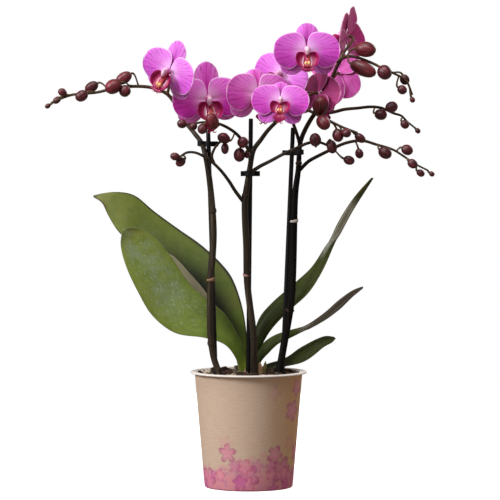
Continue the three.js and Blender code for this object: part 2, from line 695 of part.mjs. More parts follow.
const leaves = {
  leaf_left_front: {
    near: [[-5, 2, 86], [-10, -1, 100], [-18, -5, 110], [-34, -10, 116.5], [-57, -18, 121], [-74, -23, 134],
      [-85, -24, 153], [-94, -22, 173], [-98, -19, 188], [-97.5, -17, 196]],
    far: [[-1, 5, 90], [-2, 6, 104], [-8, 6, 117], [-18, 5, 133], [-31, 3, 144.5], [-45, 2, 157],
      [-59, 0, 177], [-71, -4, 191], [-83, -9, 199], [-94, -14, 198]],
    trough: [3, 4, 4, 4, 3, 3, 2.5, 2, 1.5, 0.5],
  },
  leaf_left_back: {
    near: [[-6, 9, 86], [-9, 9, 103], [-14, 9, 120], [-25, 10, 138], [-33, 11, 151], [-45, 13, 165],
      [-61, 15, 180], [-82, 17, 186], [-98, 19, 194], [-109, 23, 209], [-118, 27, 222]],
    fall: [-0.75, 0.15, -0.63],
    far: [[-2, 13, 88], [-1, 15, 108], [-4, 19, 135], [-12, 25, 159], [-21, 29, 171], [-38, 35, 187],
      [-55, 38, 199], [-75, 38, 213], [-90, 35, 224], [-105, 31, 226.5], [-117, 29, 224]],
    trough: [2, 5, 10, 15, 17, 17, 14, 8, 4, 2, 0.5],
  },
  leaf_right_tall: {
    near: [[6, 9, 90], [9, 9, 105], [16, 9, 119], [29, 9, 133], [46, 10, 149], [58, 13, 168], [67, 20, 187],
      [76, 24, 206], [85.5, 24, 221], [97.5, 24, 239]],
    far: [[2, 13, 90], [4, 15, 112], [8, 19, 128], [18, 23, 141], [36, 27, 156], [50, 28, 168], [61, 23, 186],
      [70, 15, 206], [81.5, 18, 223], [96, 23, 239]],
    trough: [2, 3, 4, 4, 4, 3, 3, 3, 2, 0.3],
  },
  leaf_right_middle: {
    near: [[8, 6, 90], [10, 5, 97], [15, 4.6, 103], [23, 4.8, 110], [32, 5.5, 114.5], [40, 9, 119],
      [50, 14, 124], [61, 18, 130], [71, 19, 137], [81, 17, 147], [89, 13, 153.5]],
    far: [[6, 9, 90], [8.5, 11, 103], [13, 13, 111], [21, 15, 116], [30, 15, 119], [40, 12, 122],
      [49, 8, 127], [59, 6, 135], [69, 7, 144], [80, 10, 151], [89, 12, 154.5]],
    trough: [2, 3, 3, 3, 2.5, 1.5, 1.5, 2, 2, 1, 0.3],
  },
  leaf_right_low: {
    near: [[6, 9, 86], [14, 9, 90.5], [24, 9, 91.5], [33, 9, 93], [42, 11, 96], [51, 13, 101], [59, 15, 107],
      [65, 17, 111], [68, 18.5, 113.6]],
    far: [[6, 14, 86], [15, 19, 92], [26, 23, 96], [31, 24, 99], [36, 25, 102.5], [43, 25, 107],
      [51, 24, 112], [59, 22, 114.8], [67, 20, 114.4]],
    trough: [1.5, 2, 2, 2, 2, 2, 1.5, 1, 0.3],
  },
};

const leafSteps = 12;
const leafAcross = 4;

function leafSolid({ near, far, trough, fall }, extra = 0) {
  const surface = railSurface(near, far, trough, extra, fall);
  return blade(surface, leafSteps, leafAcross, (u) => leafThickness + 1.2 * Math.pow(1 - u, 6) + 2 * extra);
}

// Crown: a short fat stem with dry husk points round its foot

function crownSolid(extra = 0) {
  const { x, y, radius, foot, top, huskFoot, huskTop, huskReach } = crown;
  const radii = crown.shares.map((share) => share * radius);
  const husks = [];
  for (let i = 0; i < crown.husks; i++) {
    const angle = (i / crown.husks) * 2 * Math.PI;
    const start = [x + 0.8 * radius * Math.cos(angle), y + 0.8 * radius * Math.sin(angle), huskFoot];
    const lean = angle + 0.2;
    const end = [x + huskReach * Math.cos(lean), y + huskReach * Math.sin(lean), huskTop + 1.5 * (i % 3)];
    husks.push(rod(start, end, crown.huskRadii, 4, extra));
  }
  return joined([rod([x, y, foot - extra], [x, y, top + extra], radii, 10, extra), ...husks]);
}

function rootCurves() {
  const curves = [];
  for (let i = 0; i < root.count; i++) {
    const angle = (i / root.count) * 2 * Math.PI + 0.9;
    const out = (reach) => [crown.x + reach * Math.cos(angle), crown.y * 0.6 + reach * Math.sin(angle)];
    curves.push(smoothCurve([
      [crown.x, crown.y, crown.foot - 5],
      [...out(root.spread * 0.35), crown.foot - 12],
      [...out(root.spread * 0.85), crown.foot - 26],
      [...out(root.spread * 0.8), root.foot + 14],
      [...out(root.spread * 0.5), root.foot],
    ]));
  }
  return curves;
}

function rootsSolid(extra = 0) {
  const { x, y, foot } = crown;
  const collarRadii = [root.radius * 1.5, root.radius * 1.9];
  const collar = rod([x, y, foot - 9 - extra], [x, y, foot - clearance], collarRadii, 8, extra);
  const radii = [root.radius, root.radius * 0.8];
  return joined([collar, ...rootCurves().map((curve) => stem(stationsOn(curve, radii, 4), 5, extra))]);
}

// Dry stub of an old leaf beside the crown
const stubPaths = [
  [[8.5, -1.5, 84], [9, -2, 92], [8, -2.4, 97]],
  [[11.5, 0, 84], [12.4, -0.5, 91], [12.8, -0.6, 97.5]],
];

function stubSolid(extra = 0) {
  const radii = [2.4, 2.2, 1.6, 0.6];
  return joined(stubPaths.map((path) => stem(stationsOn(smoothCurve(path), radii, 3), 5, extra)));
}

// Bark: a body that fills the clear pot, with loose chips sunk into its top
// and a shallow well round the crown

function chipSolids() {
  const random = randomFrom(bark.seed);
  const chips = [];
  const golden = Math.PI * (3 - Math.sqrt(5));
  for (let i = 0; i < bark.chips; i++) {
    const reach = bark.chipReach * Math.sqrt((i + 0.5) / bark.chips);
    const size = [bark.chipLong, bark.chipWide, bark.chipThick].map((range) => between(...range, random()));
    const geometry = new THREE.BoxGeometry(...size);
    geometry.rotateX(between(-bark.chipTurn, bark.chipTurn, random()));
    geometry.rotateY(between(-bark.chipTurn, bark.chipTurn, random()));
    geometry.rotateZ(random() * Math.PI);
    const height = bark.top + between(-0.5, bark.chipRise, random());
    geometry.translate(reach * Math.cos(i * golden), reach * Math.sin(i * golden), height);
    chips.push(solidOf(geometry));
  }
  return chips;
}

function barkSolid() {
  const foot = clearPotFoot + clearPot.base + clearance;
  const side = (z) => clearPotRadius(z) - clearPot.wall - clearance;
  const bottom = [[0, foot], [side(foot) - 2.4, foot], [side(foot + 3), foot + 3]];
  const body = turned([...bottom, [side(bark.top), bark.top], [0, bark.top]]);
  const roomTop = rimTop + bark.chipLong[1];
  const room = turned([...bottom, [side(rimTop), rimTop], [side(rimTop), roomTop], [0, roomTop]]);
  const filled = joined([body, ...chipSolids()]).intersect(room);
  const { x, y, foot: crownFoot, radius } = crown;
  const wellFloor = bark.top - bark.wellDepth;
  const holes = [
    rod([x, y, wellFloor], [x, y, roomTop], [bark.wellRadius, bark.wellRadius], 10),
    rod([x, y, crownFoot - clearance], [x, y, wellFloor + 1], [radius + clearance, radius + clearance], 10),
    rootsSolid(clearance), stubSolid(clearance), leafSolid(leaves.leaf_right_low, clearance),
    ...Object.values(sticks).map((one) => stickSolid(one, clearance)),
    ...Object.values(spikes).map((spike) => mainStem(spike, clearance)),
  ];
  return largest(filled.subtract(joined(holes)));
}

// The whole plant in its pot

const orchid = new THREE.Group();
const black = material(0x17151a, 0.45);

orchid.add(piece("cover_pot", coverPotSolid(), material(0xb08a66, 0.7)));
orchid.add(piece("clear_pot", clearPotSolid(), material(0xe8eaea, 0.25)));
orchid.add(piece("bark", barkSolid(), material(0x4a3022, 0.9)));
orchid.add(piece("roots", rootsSolid(), material(0x9aa082, 0.8)));

const crownCut = crownSolid(clearance);
orchid.add(piece("crown", crownSolid(), material(0x7c9a3a, 0.6)));
orchid.add(piece("dry_stub", largest(stubSolid().subtract(crownCut)), material(0xc19a68, 0.8)));

const leafFinish = material(0x4e7030, 0.45);
let taken = crownCut;
for (const [name, leaf] of Object.entries(leaves)) {
  orchid.add(piece(name, largest(leafSolid(leaf).subtract(taken)), leafFinish));
  taken = taken.add(leafSolid(leaf, clearance));
}

const stemFinish = material(0x2c2226, 0.5);
for (const [name, spike] of Object.entries(spikes)) {
  orchid.add(piece(name, spikeSolid(spike), stemFinish));
}
for (const [name, place] of Object.entries(sticks)) {
  orchid.add(piece(name, stickSolid(place), black));
}
for (const [name, place] of Object.entries(clips)) {
  orchid.add(piece(name, clipSolid(place), black));
}

const petalFinish = material(0xd77ccc, 0.5);
const lipShape = lipSolid();
for (const [name, group] of Object.entries(flowerGroups)) {
  group.add(piece(`${name}_petals`, petalsSolid(flowers[name]), petalFinish));
  group.add(piece(`${name}_lip`, lipShape, material(0xa8105c, 0.45)));
  orchid.add(group);
}

export default orchid;
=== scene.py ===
import math
import random

import bpy
from mathutils import Matrix, Vector, noise
from mathutils.geometry import interpolate_bezier


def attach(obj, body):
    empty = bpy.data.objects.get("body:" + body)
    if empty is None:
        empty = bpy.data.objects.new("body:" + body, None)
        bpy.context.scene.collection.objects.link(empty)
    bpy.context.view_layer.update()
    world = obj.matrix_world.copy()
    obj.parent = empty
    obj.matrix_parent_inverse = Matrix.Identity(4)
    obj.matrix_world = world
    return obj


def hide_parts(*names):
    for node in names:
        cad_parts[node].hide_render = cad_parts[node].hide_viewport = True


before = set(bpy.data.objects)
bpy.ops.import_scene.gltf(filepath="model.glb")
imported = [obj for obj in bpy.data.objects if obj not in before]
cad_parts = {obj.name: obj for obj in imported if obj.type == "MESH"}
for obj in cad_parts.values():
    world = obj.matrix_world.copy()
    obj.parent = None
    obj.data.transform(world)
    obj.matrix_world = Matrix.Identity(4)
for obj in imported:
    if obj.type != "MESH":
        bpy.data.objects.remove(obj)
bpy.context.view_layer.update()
mm = 0.001
wholeTurn = 6.28  # in radians, close enough for an angle left to chance
print("frame loaded:", len(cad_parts), "solids")


# Shader helpers

class Value:
    # a number that changes over a surface, used in plain sums
    def __init__(self, finish, socket):
        self.finish = finish
        self.socket = socket

    def calc(self, operation, *others):
        inputs = {i: other for i, other in enumerate((self, *others))}
        return self.finish.node("Math", {"operation": operation}, inputs)

    def wave(self):
        # ripples between 0 and 1, one for every half turn
        return self.calc("SINE").calc("ABSOLUTE")

    def __add__(self, other):
        return self.calc("ADD", other)

    def __sub__(self, other):
        return self.calc("SUBTRACT", other)

    def __mul__(self, other):
        return self.calc("MULTIPLY", other)

    def __truediv__(self, other):
        return self.calc("DIVIDE", other)

    def __pow__(self, other):
        return self.calc("POWER", other)

    def __rsub__(self, other):
        return self * -1 + other

    def __rtruediv__(self, other):
        return self ** -1 * other

    __radd__ = __add__
    __rmul__ = __mul__


def paint(red, green, blue):
    # a colour as a screen shows it, 0 to 255, made linear
    def linear(level):
        share = level / 255
        return share / 12.92 if share < 0.04045 else ((share + 0.055) / 1.055) ** 2.4
    return (linear(red), linear(green), linear(blue), 1.0)


class Finish:
    # one material and short ways to add its nodes
    def __init__(self, name, constants):
        self.material = bpy.data.materials.new(name)
        self.material.use_nodes = True
        self.tree = self.material.node_tree
        self.shader = self.tree.nodes["Principled BSDF"]
        for socketName, level in constants.items():
            self.shader.inputs[socketName].default_value = level

    def node(self, kind, settings, inputs, output=0):
        made = self.tree.nodes.new("ShaderNode" + kind)
        for key, setting in settings.items():
            if key == "stops":
                self.setStops(made.color_ramp, setting)
            else:
                setattr(made, key, setting)
        for key, value in inputs.items():
            if isinstance(value, Value):
                self.tree.links.new(value.socket, made.inputs[key])
            else:
                made.inputs[key].default_value = value
        return Value(self, made.outputs[output])

    def setStops(self, ramp, stops):
        while len(ramp.elements) < len(stops):
            ramp.elements.new(0.5)
        for element, (position, colour) in zip(ramp.elements, stops):
            element.position = position
            element.color = colour

    def place(self):
        return self.node("TexCoord", {}, {}, "Object")

    def uv(self, layer="UVMap"):
        return self.node("UVMap", {"uv_map": layer}, {})

    def parts(self, vector, axes):
        outputs = self.node("SeparateXYZ", {}, {0: vector}).socket.node.outputs
        return [Value(self, outputs[axis]) for axis in axes]

    def vector(self, x, y, z=0.0):
        return self.node("CombineXYZ", {}, {0: x, 1: y, 2: z})

    def stretched(self, vector, scale):
        return self.node("VectorMath", {"operation": "MULTIPLY"}, {0: vector, 1: scale})

    def noise(self, vector, scale, detail=3.0, roughness=0.5):
        return self.node("TexNoise", {}, {"Vector": vector, "Scale": scale, "Detail": detail,
                                          "Roughness": roughness}, "Fac")

    def cells(self, vector, scale, feature="F1"):
        return self.node("TexVoronoi", {"feature": feature}, {"Vector": vector, "Scale": scale}, "Distance")

    def step(self, value, low, high):
        # rises smoothly from 0 to 1 between low and high
        return self.node("MapRange", {"interpolation_type": "SMOOTHSTEP"},
                         {"Value": value, "From Min": low, "From Max": high})

    def mix(self, share, first, second):
        return self.node("Mix", {"data_type": "RGBA"}, {0: share, 6: first, 7: second}, 2)

    def ramp(self, value, stops):
        return self.node("ValToRGB", {"stops": stops}, {0: value})

    def bump(self, height, depth, strength):
        # depth in millimetres
        return self.node("Bump", {}, {"Height": height, "Strength": strength, "Distance": depth * mm})

    def wire(self, colour, roughness=None, normal=None):
        for socketName, value in (("Base Color", colour), ("Roughness", roughness), ("Normal", normal)):
            if value:
                self.tree.links.new(value.socket, self.shader.inputs[socketName])
        return self.material


# Object helpers

def select(*pieces):
    bpy.ops.object.select_all(action="DESELECT")
    for one in pieces:
        one.select_set(True)
    bpy.context.view_layer.objects.active = pieces[0]


def applyModifier(piece, kind, **settings):
    modifier = piece.modifiers.new(kind.title(), kind)
    for key, setting in settings.items():
        setattr(modifier, key, setting)
    select(piece)
    bpy.ops.object.modifier_apply(modifier=modifier.name)


def applyPlace(piece):
    select(piece)
    bpy.ops.object.transform_apply(location=True, rotation=True, scale=True)


def smooth(piece, degrees):
    select(piece)
    bpy.ops.object.shade_smooth_by_angle(angle=math.radians(degrees))


def give(piece, *finishes):
    piece.data.materials.clear()
    for finish in finishes:
        piece.data.materials.append(finish)


def join(name, pieces):
    select(*pieces)
    if len(pieces) > 1:
        bpy.ops.object.join()
    whole = bpy.context.view_layer.objects.active
    whole.name = name
    whole.data.name = name
    return whole


def dress(piece, slotName, *nodes):
    # puts a finished piece in the place of its solids
    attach(piece, "root")
    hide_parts(*nodes)


def copyOf(piece):
    twin = piece.copy()
    twin.data = piece.data.copy()
    bpy.context.scene.collection.objects.link(twin)
    return twin


def setMesh(piece, move):
    # every point of the mesh goes where move(point) says
    for vertex in piece.data.vertices:
        vertex.co = move(vertex.co)


# Curve helpers

def between(low, high, share):
    return low + (high - low) * share


def atShare(values, share):
    # a value read from evenly spaced stations
    place = min(max(share, 0), 1) * (len(values) - 1)
    index = min(int(place), len(values) - 2)
    return between(values[index], values[index + 1], place - index)


def evenly(points, count):
    # the same line with count + 1 points at even distances
    lengths = [0.0]
    for a, b in zip(points, points[1:]):
        lengths.append(lengths[-1] + (b - a).length)
    result = []
    index = 0
    for i in range(count + 1):
        wanted = lengths[-1] * i / count
        while index < len(points) - 2 and lengths[index + 1] < wanted:
            index += 1
        span = max(lengths[index + 1] - lengths[index], 1e-9)
        result.append(points[index].lerp(points[index + 1], min((wanted - lengths[index]) / span, 1)))
    return result


def smoothLine(path):
    # a smooth line through the points, its speed set by their distances
    points = [Vector(point) for point in path]
    ends = [points[0] * 2 - points[1], *points, points[-1] * 2 - points[-2]]
    dense = []
    for a, b, c, d in zip(ends, ends[1:], ends[2:], ends[3:]):
        ab, bc, cd = ((q - p).length ** 0.5 for p, q in ((a, b), (b, c), (c, d)))
        leave = ((b - a) / ab - (c - a) / (ab + bc) + (c - b) / bc) * bc
        arrive = ((c - b) / bc - (d - b) / (bc + cd) + (d - c) / cd) * bc
        dense += interpolate_bezier(b, b + leave / 3, c - arrive / 3, c, 13)[:-1]
    return dense + [points[-1]]


def smoothPath(path, count):
    return evenly(smoothLine(path), count)


def railPath(path, count):
    # evenly spaced in the path's own points, as both edges of a blade need
    dense = smoothLine(path)
    places = [min(i / count * (len(dense) - 1), len(dense) - 1.001) for i in range(count + 1)]
    return [dense[int(place)].lerp(dense[int(place) + 1], place % 1) for place in places]


def addTube(name, points, radii, finish, roundness=3):
    curve = bpy.data.curves.new(name, "CURVE")
    curve.dimensions = "3D"
    curve.bevel_depth = mm
    curve.bevel_resolution = roundness
    curve.use_fill_caps = True
    line = curve.splines.new("POLY")
    line.points.add(len(points) - 1)
    for i, (knot, point) in enumerate(zip(line.points, points)):
        knot.co = (*(point * mm), 1)
        knot.radius = atShare(radii, i / (len(points) - 1))
    tube = bpy.data.objects.new(name, curve)
    bpy.context.scene.collection.objects.link(tube)
    select(tube)
    bpy.ops.object.convert(target="MESH")
    tube = bpy.context.object
    give(tube, finish)
    smooth(tube, 50)
    return tube


edgeRise = 3.5  # a blade has its full thickness from 1 / edgeRise of its width inwards
railSteps = 200


def addBlade(name, surface, steps, thickness, finishes, flat=None, thinEdge=0.45):
    # a grid bent to surface(u, v), u from root to tip and v from -1 to 1 across, then given its thickness
    across, along = steps
    bpy.ops.object.select_all(action="DESELECT")
    bpy.ops.mesh.primitive_grid_add(x_subdivisions=across, y_subdivisions=along, size=2)
    blade = bpy.context.object
    blade.name = name
    mesh = blade.data
    shares = [((vertex.co.y + 1) / 2, vertex.co.x) for vertex in mesh.vertices]
    shareLayer = mesh.uv_layers[0]
    shareLayer.name = "UVMap"
    flatLayer = mesh.uv_layers.new(name="flat") if flat else None
    for corner in mesh.loops:
        u, v = shares[corner.vertex_index]
        shareLayer.data[corner.index].uv = (v / 2 + 0.5, u)
        if flat:
            flatLayer.data[corner.index].uv = flat(u, v)
    body = blade.vertex_groups.new(name="body")
    for vertex, (u, v) in zip(mesh.vertices, shares):
        vertex.co = surface(u, v) * mm
        body.add([vertex.index], min(1, edgeRise * min(1 - abs(v), 1 - u)), "REPLACE")
    give(blade, *finishes)
    applyModifier(blade, "SOLIDIFY", thickness=thickness * mm, offset=0, vertex_group="body",
                  thickness_vertex_group=thinEdge, material_offset=1)
    applyModifier(blade, "SUBSURF", levels=1, render_levels=1)
    blade.vertex_groups.clear()
    select(blade)
    bpy.ops.object.shade_smooth()
    return blade


def troughSurface(near, far, trough, fall=None):
    # between two edge paths, its middle pushed out so that the section is a trough
    left, right = railPath(near, railSteps), railPath(far, railSteps)

    def surface(u, v):
        i = min(int(u * railSteps), railSteps - 1)
        share = u * railSteps - i
        a, b = left[i].lerp(left[i + 1], share), right[i].lerp(right[i + 1], share)
        along = (left[i + 1] - left[i]).normalized() + (right[i + 1] - right[i]).normalized()
        outward = Vector(fall).normalized() if fall else along.cross(b - a).normalized()
        return a.lerp(b, (v + 1) / 2) + outward * atShare(trough, u) * (1 - v * v)
    return surface


# Studio: camera, lights, floor

studio = {
    "place": (1.1, -2300, 282), "aim": (1.1, 0, 183.5), "seenWidth": 386.25, "sensor": 36,
    "lights": [
        # place, size, watts, colour
        ((-2000, -1150, 1500), 0.9, 56, (0.95, 0.97, 1.0)),
        ((-260, -800, 2000), 1.0, 27, (1.0, 1.0, 1.0)),
        ((1500, 2100, 1300), 1.2, 20, (1.0, 0.97, 0.94)),
    ],
    "worldLight": 0.27, "worldTint": (1.0, 0.88, 0.77), "floorSize": 1.6, "floorGlow": 0.8, "seenTo": 30,
}


def addStudio():
    place, aim = (Vector(studio[key]) * mm for key in ("place", "aim"))
    bpy.ops.object.camera_add(location=place)
    camera = bpy.context.object
    camera.rotation_euler = (aim - place).to_track_quat("-Z", "Y").to_euler()
    camera.data.sensor_width = studio["sensor"]
    camera.data.lens = studio["sensor"] * (aim - place).length / (studio["seenWidth"] * mm)
    camera.data.clip_end = studio["seenTo"]
    bpy.context.scene.camera = camera
    for lightPlace, size, watts, tint in studio["lights"]:
        spot = Vector(lightPlace) * mm
        bpy.ops.object.light_add(type="AREA", location=spot)
        lamp = bpy.context.object
        lamp.data.size = size
        lamp.data.energy = watts
        lamp.data.color = tint
        lamp.rotation_euler = (aim - spot).to_track_quat("-Z", "Y").to_euler()
    bpy.ops.mesh.primitive_plane_add(size=studio["floorSize"])
    floor = bpy.context.object
    floor.name = "floor"
    floor.visible_diffuse = False
    floor.visible_glossy = False
    finish = Finish("pale floor", {"Roughness": 0.9, "Emission Strength": studio["floorGlow"],
                                   "Emission Color": (1, 1, 1, 1)})
    speckle = finish.noise(finish.place(), 3.0)
    give(floor, finish.wire(finish.mix(speckle, paint(252, 252, 252), paint(248, 248, 248))))
    world = bpy.data.worlds.new("studio")
    bpy.context.scene.world = world
    world.use_nodes = True
    nodes, links = world.node_tree.nodes, world.node_tree.links
    background = nodes["Background"]
    background.inputs["Color"].default_value = (1, 1, 1, 1)
    soft = nodes.new("ShaderNodeBackground")
    soft.inputs["Color"].default_value = (*studio["worldTint"], 1)
    soft.inputs["Strength"].default_value = studio["worldLight"]
    seen = nodes.new("ShaderNodeLightPath")
    blend = nodes.new("ShaderNodeMixShader")  # full white where it is seen, softer where it lights
    links.new(seen.outputs["Is Camera Ray"], blend.inputs[0])
    links.new(soft.outputs[0], blend.inputs[1])
    links.new(background.outputs[0], blend.inputs[2])
    links.new(blend.outputs[0], nodes["World Output"].inputs["Surface"])
    bpy.context.scene.view_settings.view_transform = "Standard"


addStudio()
print("studio ready")


# Pots

pots = {
    "footRadius": 34.2, "rimRadius": 41.6, "height": 88, "wall": 0.8, "base": 1, "footRound": 1.6,
    "lipRadius": 45, "lipThick": 1.4, "linerGap": 0.4, "sides": 128,
}


cardPrint = {
    "flatRadius": 38,  # where the tapered wall is taken as if it were straight
    "bandTop": 24, "petals": 5, "ragged": 4.5, "softEdge": 1.4,
    "rows": [
        # millimetres to a blossom's cell, lowest and highest place, middle and outer colour, seed
        (29, 2, 40, paint(222, 132, 164), paint(158, 66, 112), 3),
        (21, 2, 40, paint(226, 144, 160), paint(188, 84, 128), 11),
        (16, 0, 24, paint(206, 104, 160), paint(178, 76, 134), 37),
        (24, 40, 90, paint(222, 144, 172), paint(170, 82, 128), 23),
    ],
}


def potRadius(height):
    return between(pots["footRadius"], pots["rimRadius"], height / pots["height"])


def cardFinish():
    finish = Finish("printed card", {"Specular IOR Level": 0.2})
    place = finish.place()
    x, y, z = finish.parts(place, "XYZ")
    height = z / mm
    turn = x.calc("ARCTAN2", y * -1)  # 0 towards the viewer, rising to the right
    around = turn * cardPrint["flatRadius"]
    sheet = finish.vector(around, height)  # the wall laid flat, in millimetres
    fibres = finish.noise(finish.vector(turn * 5, height * 1.1), 1.0, 4.0, 0.6)
    paper = finish.noise(sheet, 1.6, 3.0)
    cloudy = finish.noise(place, 45.0, 2.0)
    card = finish.ramp(fibres, [(0.3, paint(198, 172, 150)), (0.5, paint(206, 181, 160)),
                                (0.72, paint(212, 188, 168))])
    card = finish.mix(cloudy * 0.35, card, paint(200, 170, 144))
    # painted shade: the card is made warmer and darker towards the right, the side turned away from the key
    # light
    card = finish.mix(finish.step(x / mm, 8, 40) * 0.7, card, paint(214, 160, 108))  # warmer on the right
    # a band of soft washes at the foot, with blossoms printed over it, one scattered to a cell
    wash = finish.noise(sheet, 0.11, 5.0, 0.62)
    stain = finish.noise(finish.vector(around + 60, height), 0.19, 5.0, 0.66)
    ragged = finish.noise(sheet, 0.5, 5.0, 0.68) - 0.5
    waves = 6 * (turn * 2.6 + 1.0).calc("SINE")
    top = cardPrint["bandTop"] + 34 * (wash - 0.5) + waves + ragged * 12
    band = finish.step(top - height, -1.0, 5.0)
    washTone = finish.ramp(stain, [(0.34, paint(178, 84, 132)), (0.46, paint(214, 122, 160)),
                                   (0.56, paint(220, 134, 142)), (0.68, paint(196, 130, 152))])
    soak = 0.3 + 0.5 * finish.step(15 - height, -12, 10) + 0.7 * (stain - 0.5)
    printed = finish.mix(band * soak, card, washTone)
    tall = finish.step(turn, 0.15, 1.1)  # the blossoms climb on the right
    petals = cardPrint["petals"]
    for cell, low, high, inner, outer, seed in cardPrint["rows"]:
        scale = 1 / cell
        moved = finish.node("VectorMath", {"operation": "ADD"}, {0: sheet, 1: (seed * 7, seed, 0)})
        settings = {"voronoi_dimensions": "2D"}
        inputs = {"Vector": moved, "Scale": scale, "Randomness": 0.8}
        middle = finish.node("TexVoronoi", settings, inputs, "Position")
        chance = finish.node("TexVoronoi", settings, inputs, "Color")
        local = finish.node("VectorMath", {"operation": "SUBTRACT"}, {0: moved, 1: middle})
        x, y = finish.parts(local, "XY")
        turned, larger, kept = finish.parts(chance, "XYZ")
        level = finish.parts(middle, "Y")[0] - seed
        reach = (x * x + y * y).calc("SQRT")
        angle = y.calc("ARCTAN2", x) + turned * wholeTurn
        lobes = (angle * (petals / 2)).calc("COSINE").calc("ABSOLUTE")
        size = (0.27 + 0.2 * larger) / scale
        edge = size * (0.42 + 0.58 * lobes ** 0.6) + ragged * cardPrint["ragged"]
        bloom = finish.step(edge - reach, 0.0, cardPrint["softEdge"])
        inBand = finish.step(level, low - 1, low + 1) * (1 - finish.step(level, high - 8, high))
        if low > cardPrint["bandTop"]:  # a few loose ones above the band
            inBand = inBand * tall * finish.step(kept, 0.3, 0.4)
        tone = finish.mix(finish.step(reach / edge, 0.35, 1.0) * (0.45 + wash), inner, outer)
        fold = finish.step((angle * petals).wave(), 0.25, 0.0) * 0.35
        tone = finish.mix(fold, tone, paint(176, 84, 126))
        printed = finish.mix(bloom * inBand * (0.15 + 1.1 * stain), printed, tone)
    return finish.wire(printed, 0.62 + 0.22 * paper, finish.bump(paper, 0.06, 0.4))


def linerFinish():
    finish = Finish("cloudy clear plastic", {"Specular IOR Level": 0.6, "Transmission Weight": 0.12,
                                             "IOR": 1.2})
    place = finish.place()
    cloud = finish.noise(place, 90.0, 3.0)
    scuffs = finish.noise(finish.stretched(place, (200, 200, 1400)), 1.0, 2.0)
    colour = finish.mix(cloud, paint(236, 226, 220), paint(249, 243, 238))
    return finish.wire(colour, 0.22 + 0.25 * scuffs, finish.bump(scuffs, 0.05, 0.4))


def addTurned(name, profile, finish, sides):
    # a closed profile of (radius, height) turned once round
    mesh = bpy.data.meshes.new(name)
    corners = [(radius * mm, 0, height * mm) for radius, height in profile]
    edges = [(i, (i + 1) % len(corners)) for i in range(len(corners))]
    mesh.from_pydata(corners, edges, [])
    turned = bpy.data.objects.new(name, mesh)
    bpy.context.scene.collection.objects.link(turned)
    select(turned)
    bpy.ops.object.mode_set(mode="EDIT")
    bpy.ops.mesh.select_all(action="SELECT")
    bpy.ops.mesh.spin(steps=sides, angle=2 * math.pi, center=(0, 0, 0), axis=(0, 0, 1))
    bpy.ops.mesh.select_all(action="SELECT")
    bpy.ops.mesh.remove_doubles(threshold=1e-6)
    bpy.ops.mesh.normals_make_consistent(inside=False)
    bpy.ops.object.mode_set(mode="OBJECT")
    give(turned, finish)
    return turned


def addCoverPot():
    foot, height, wall, base = pots["footRadius"], pots["height"], pots["wall"], pots["base"]
    corner = pots["footRound"]
    arc = []
    for i in range(5):
        angle = math.radians(90 * i / 4)
        arc.append((foot - corner + corner * math.sin(angle), corner - corner * math.cos(angle)))
    rings = [(potRadius(z), z) for z in range(8, int(height) - 2, 8)]
    rim = [(potRadius(height - 0.5), height - 0.5), (potRadius(height) - 0.25, height - 0.05),
           (potRadius(height) - wall + 0.1, height - 0.1), (potRadius(height) - wall, height - 0.6)]
    inner = [(potRadius(z) - wall, z) for z in range(int(height) - 8, 4, -10)]
    profile = [*arc, *rings, *rim, *inner, (potRadius(base) - wall - 0.4, base), (0.01, base), (0.01, 0.35),
               (foot - 5, 0.35), (foot - 4.2, 0)]
    pot = addTurned("coverPot", profile, cardFinish(), pots["sides"])
    smooth(pot, 35)
    dress(pot, "printed_card", "cover_pot")


def addLiner():
    height, gap, wall = pots["height"], pots["linerGap"], pots["wall"]
    lip, lipThick = pots["lipRadius"], pots["lipThick"]
    under = height + 0.3
    over = under + lipThick

    def outer(z):
        return potRadius(z) - wall - gap
    outside = [(outer(1.6) - 2, 1.5), (outer(3.5), 3.5), *[(outer(z), z) for z in range(12, int(height), 10)]]
    rim = [(outer(under) - 0.2, under - 0.3), (outer(under) + 0.4, under), (lip - 0.7, under),
           (lip - 0.15, under + 0.25), (lip, under + lipThick * 0.5), (lip - 0.25, over - 0.2),
           (lip - 0.8, over), (outer(under) + 0.3, over), (outer(under) - wall - 0.1, over - 0.5)]
    inside = [(outer(80) - wall, 80), *[(outer(z) - wall, z) for z in range(70, 8, -12)],
              (outer(2.7) - wall - 2, 2.7), (0.01, 2.7), (0.01, 1.5)]
    liner = addTurned("clearPot", outside + rim + inside, linerFinish(), pots["sides"])
    smooth(liner, 35)
    dress(liner, "clear_plastic", "clear_pot")


addCoverPot()
addLiner()
print("pots ready")


# Bark, roots, crown and stub

bark = {
    "top": 86, "reach": 37.2, "highest": 91.6, "chips": 95, "kinds": 8, "seed": 21,
    "chipSize": [(10, 18), (6, 10), (2.4, 4.2)],  # length, width and thickness
    "wallGap": 2.4, "crownGap": 7.5, "stemGap": 4.6, "tilt": 0.5, "rise": (-1.4, 0.9),
    "grain": [(160, 1.5), (520, 0.5)],  # how fine and how deep each roughening is
    "shares": [6, 1.5, 2], "sharesLeft": [6, 5, 2],  # of the dark, pale and grey chips
    "stemFeet": [(-21, -21), (-24, -14), (5, -6), (0, -2), (24, -5), (28, 1)],
}
crownPlace = Vector((0.5, 9, 0))


def barkFinish(name, dark, pale):
    finish = Finish(name, {"Specular IOR Level": 0.2})
    place = finish.place()
    grain = finish.noise(finish.stretched(place, (900, 260, 700)), 1.0, 6.0, 0.65)
    patch = finish.noise(place, 190.0, 4.0)
    cracks = finish.cells(place, 420.0, "DISTANCE_TO_EDGE")
    colour = finish.mix(finish.step(grain, 0.32, 0.7), dark, pale)
    colour = finish.mix((1 - finish.step(cracks, 0.0, 0.1)) * 0.6, colour, paint(24, 15, 11))
    colour = finish.mix(finish.step(patch, 0.55, 0.75) * 0.5, colour, paint(112, 92, 74))
    relief = grain * 0.7 + finish.step(cracks, 0.0, 0.12) * 0.5
    return finish.wire(colour, 0.75 + 0.2 * grain, finish.bump(relief, 0.5, 0.8))


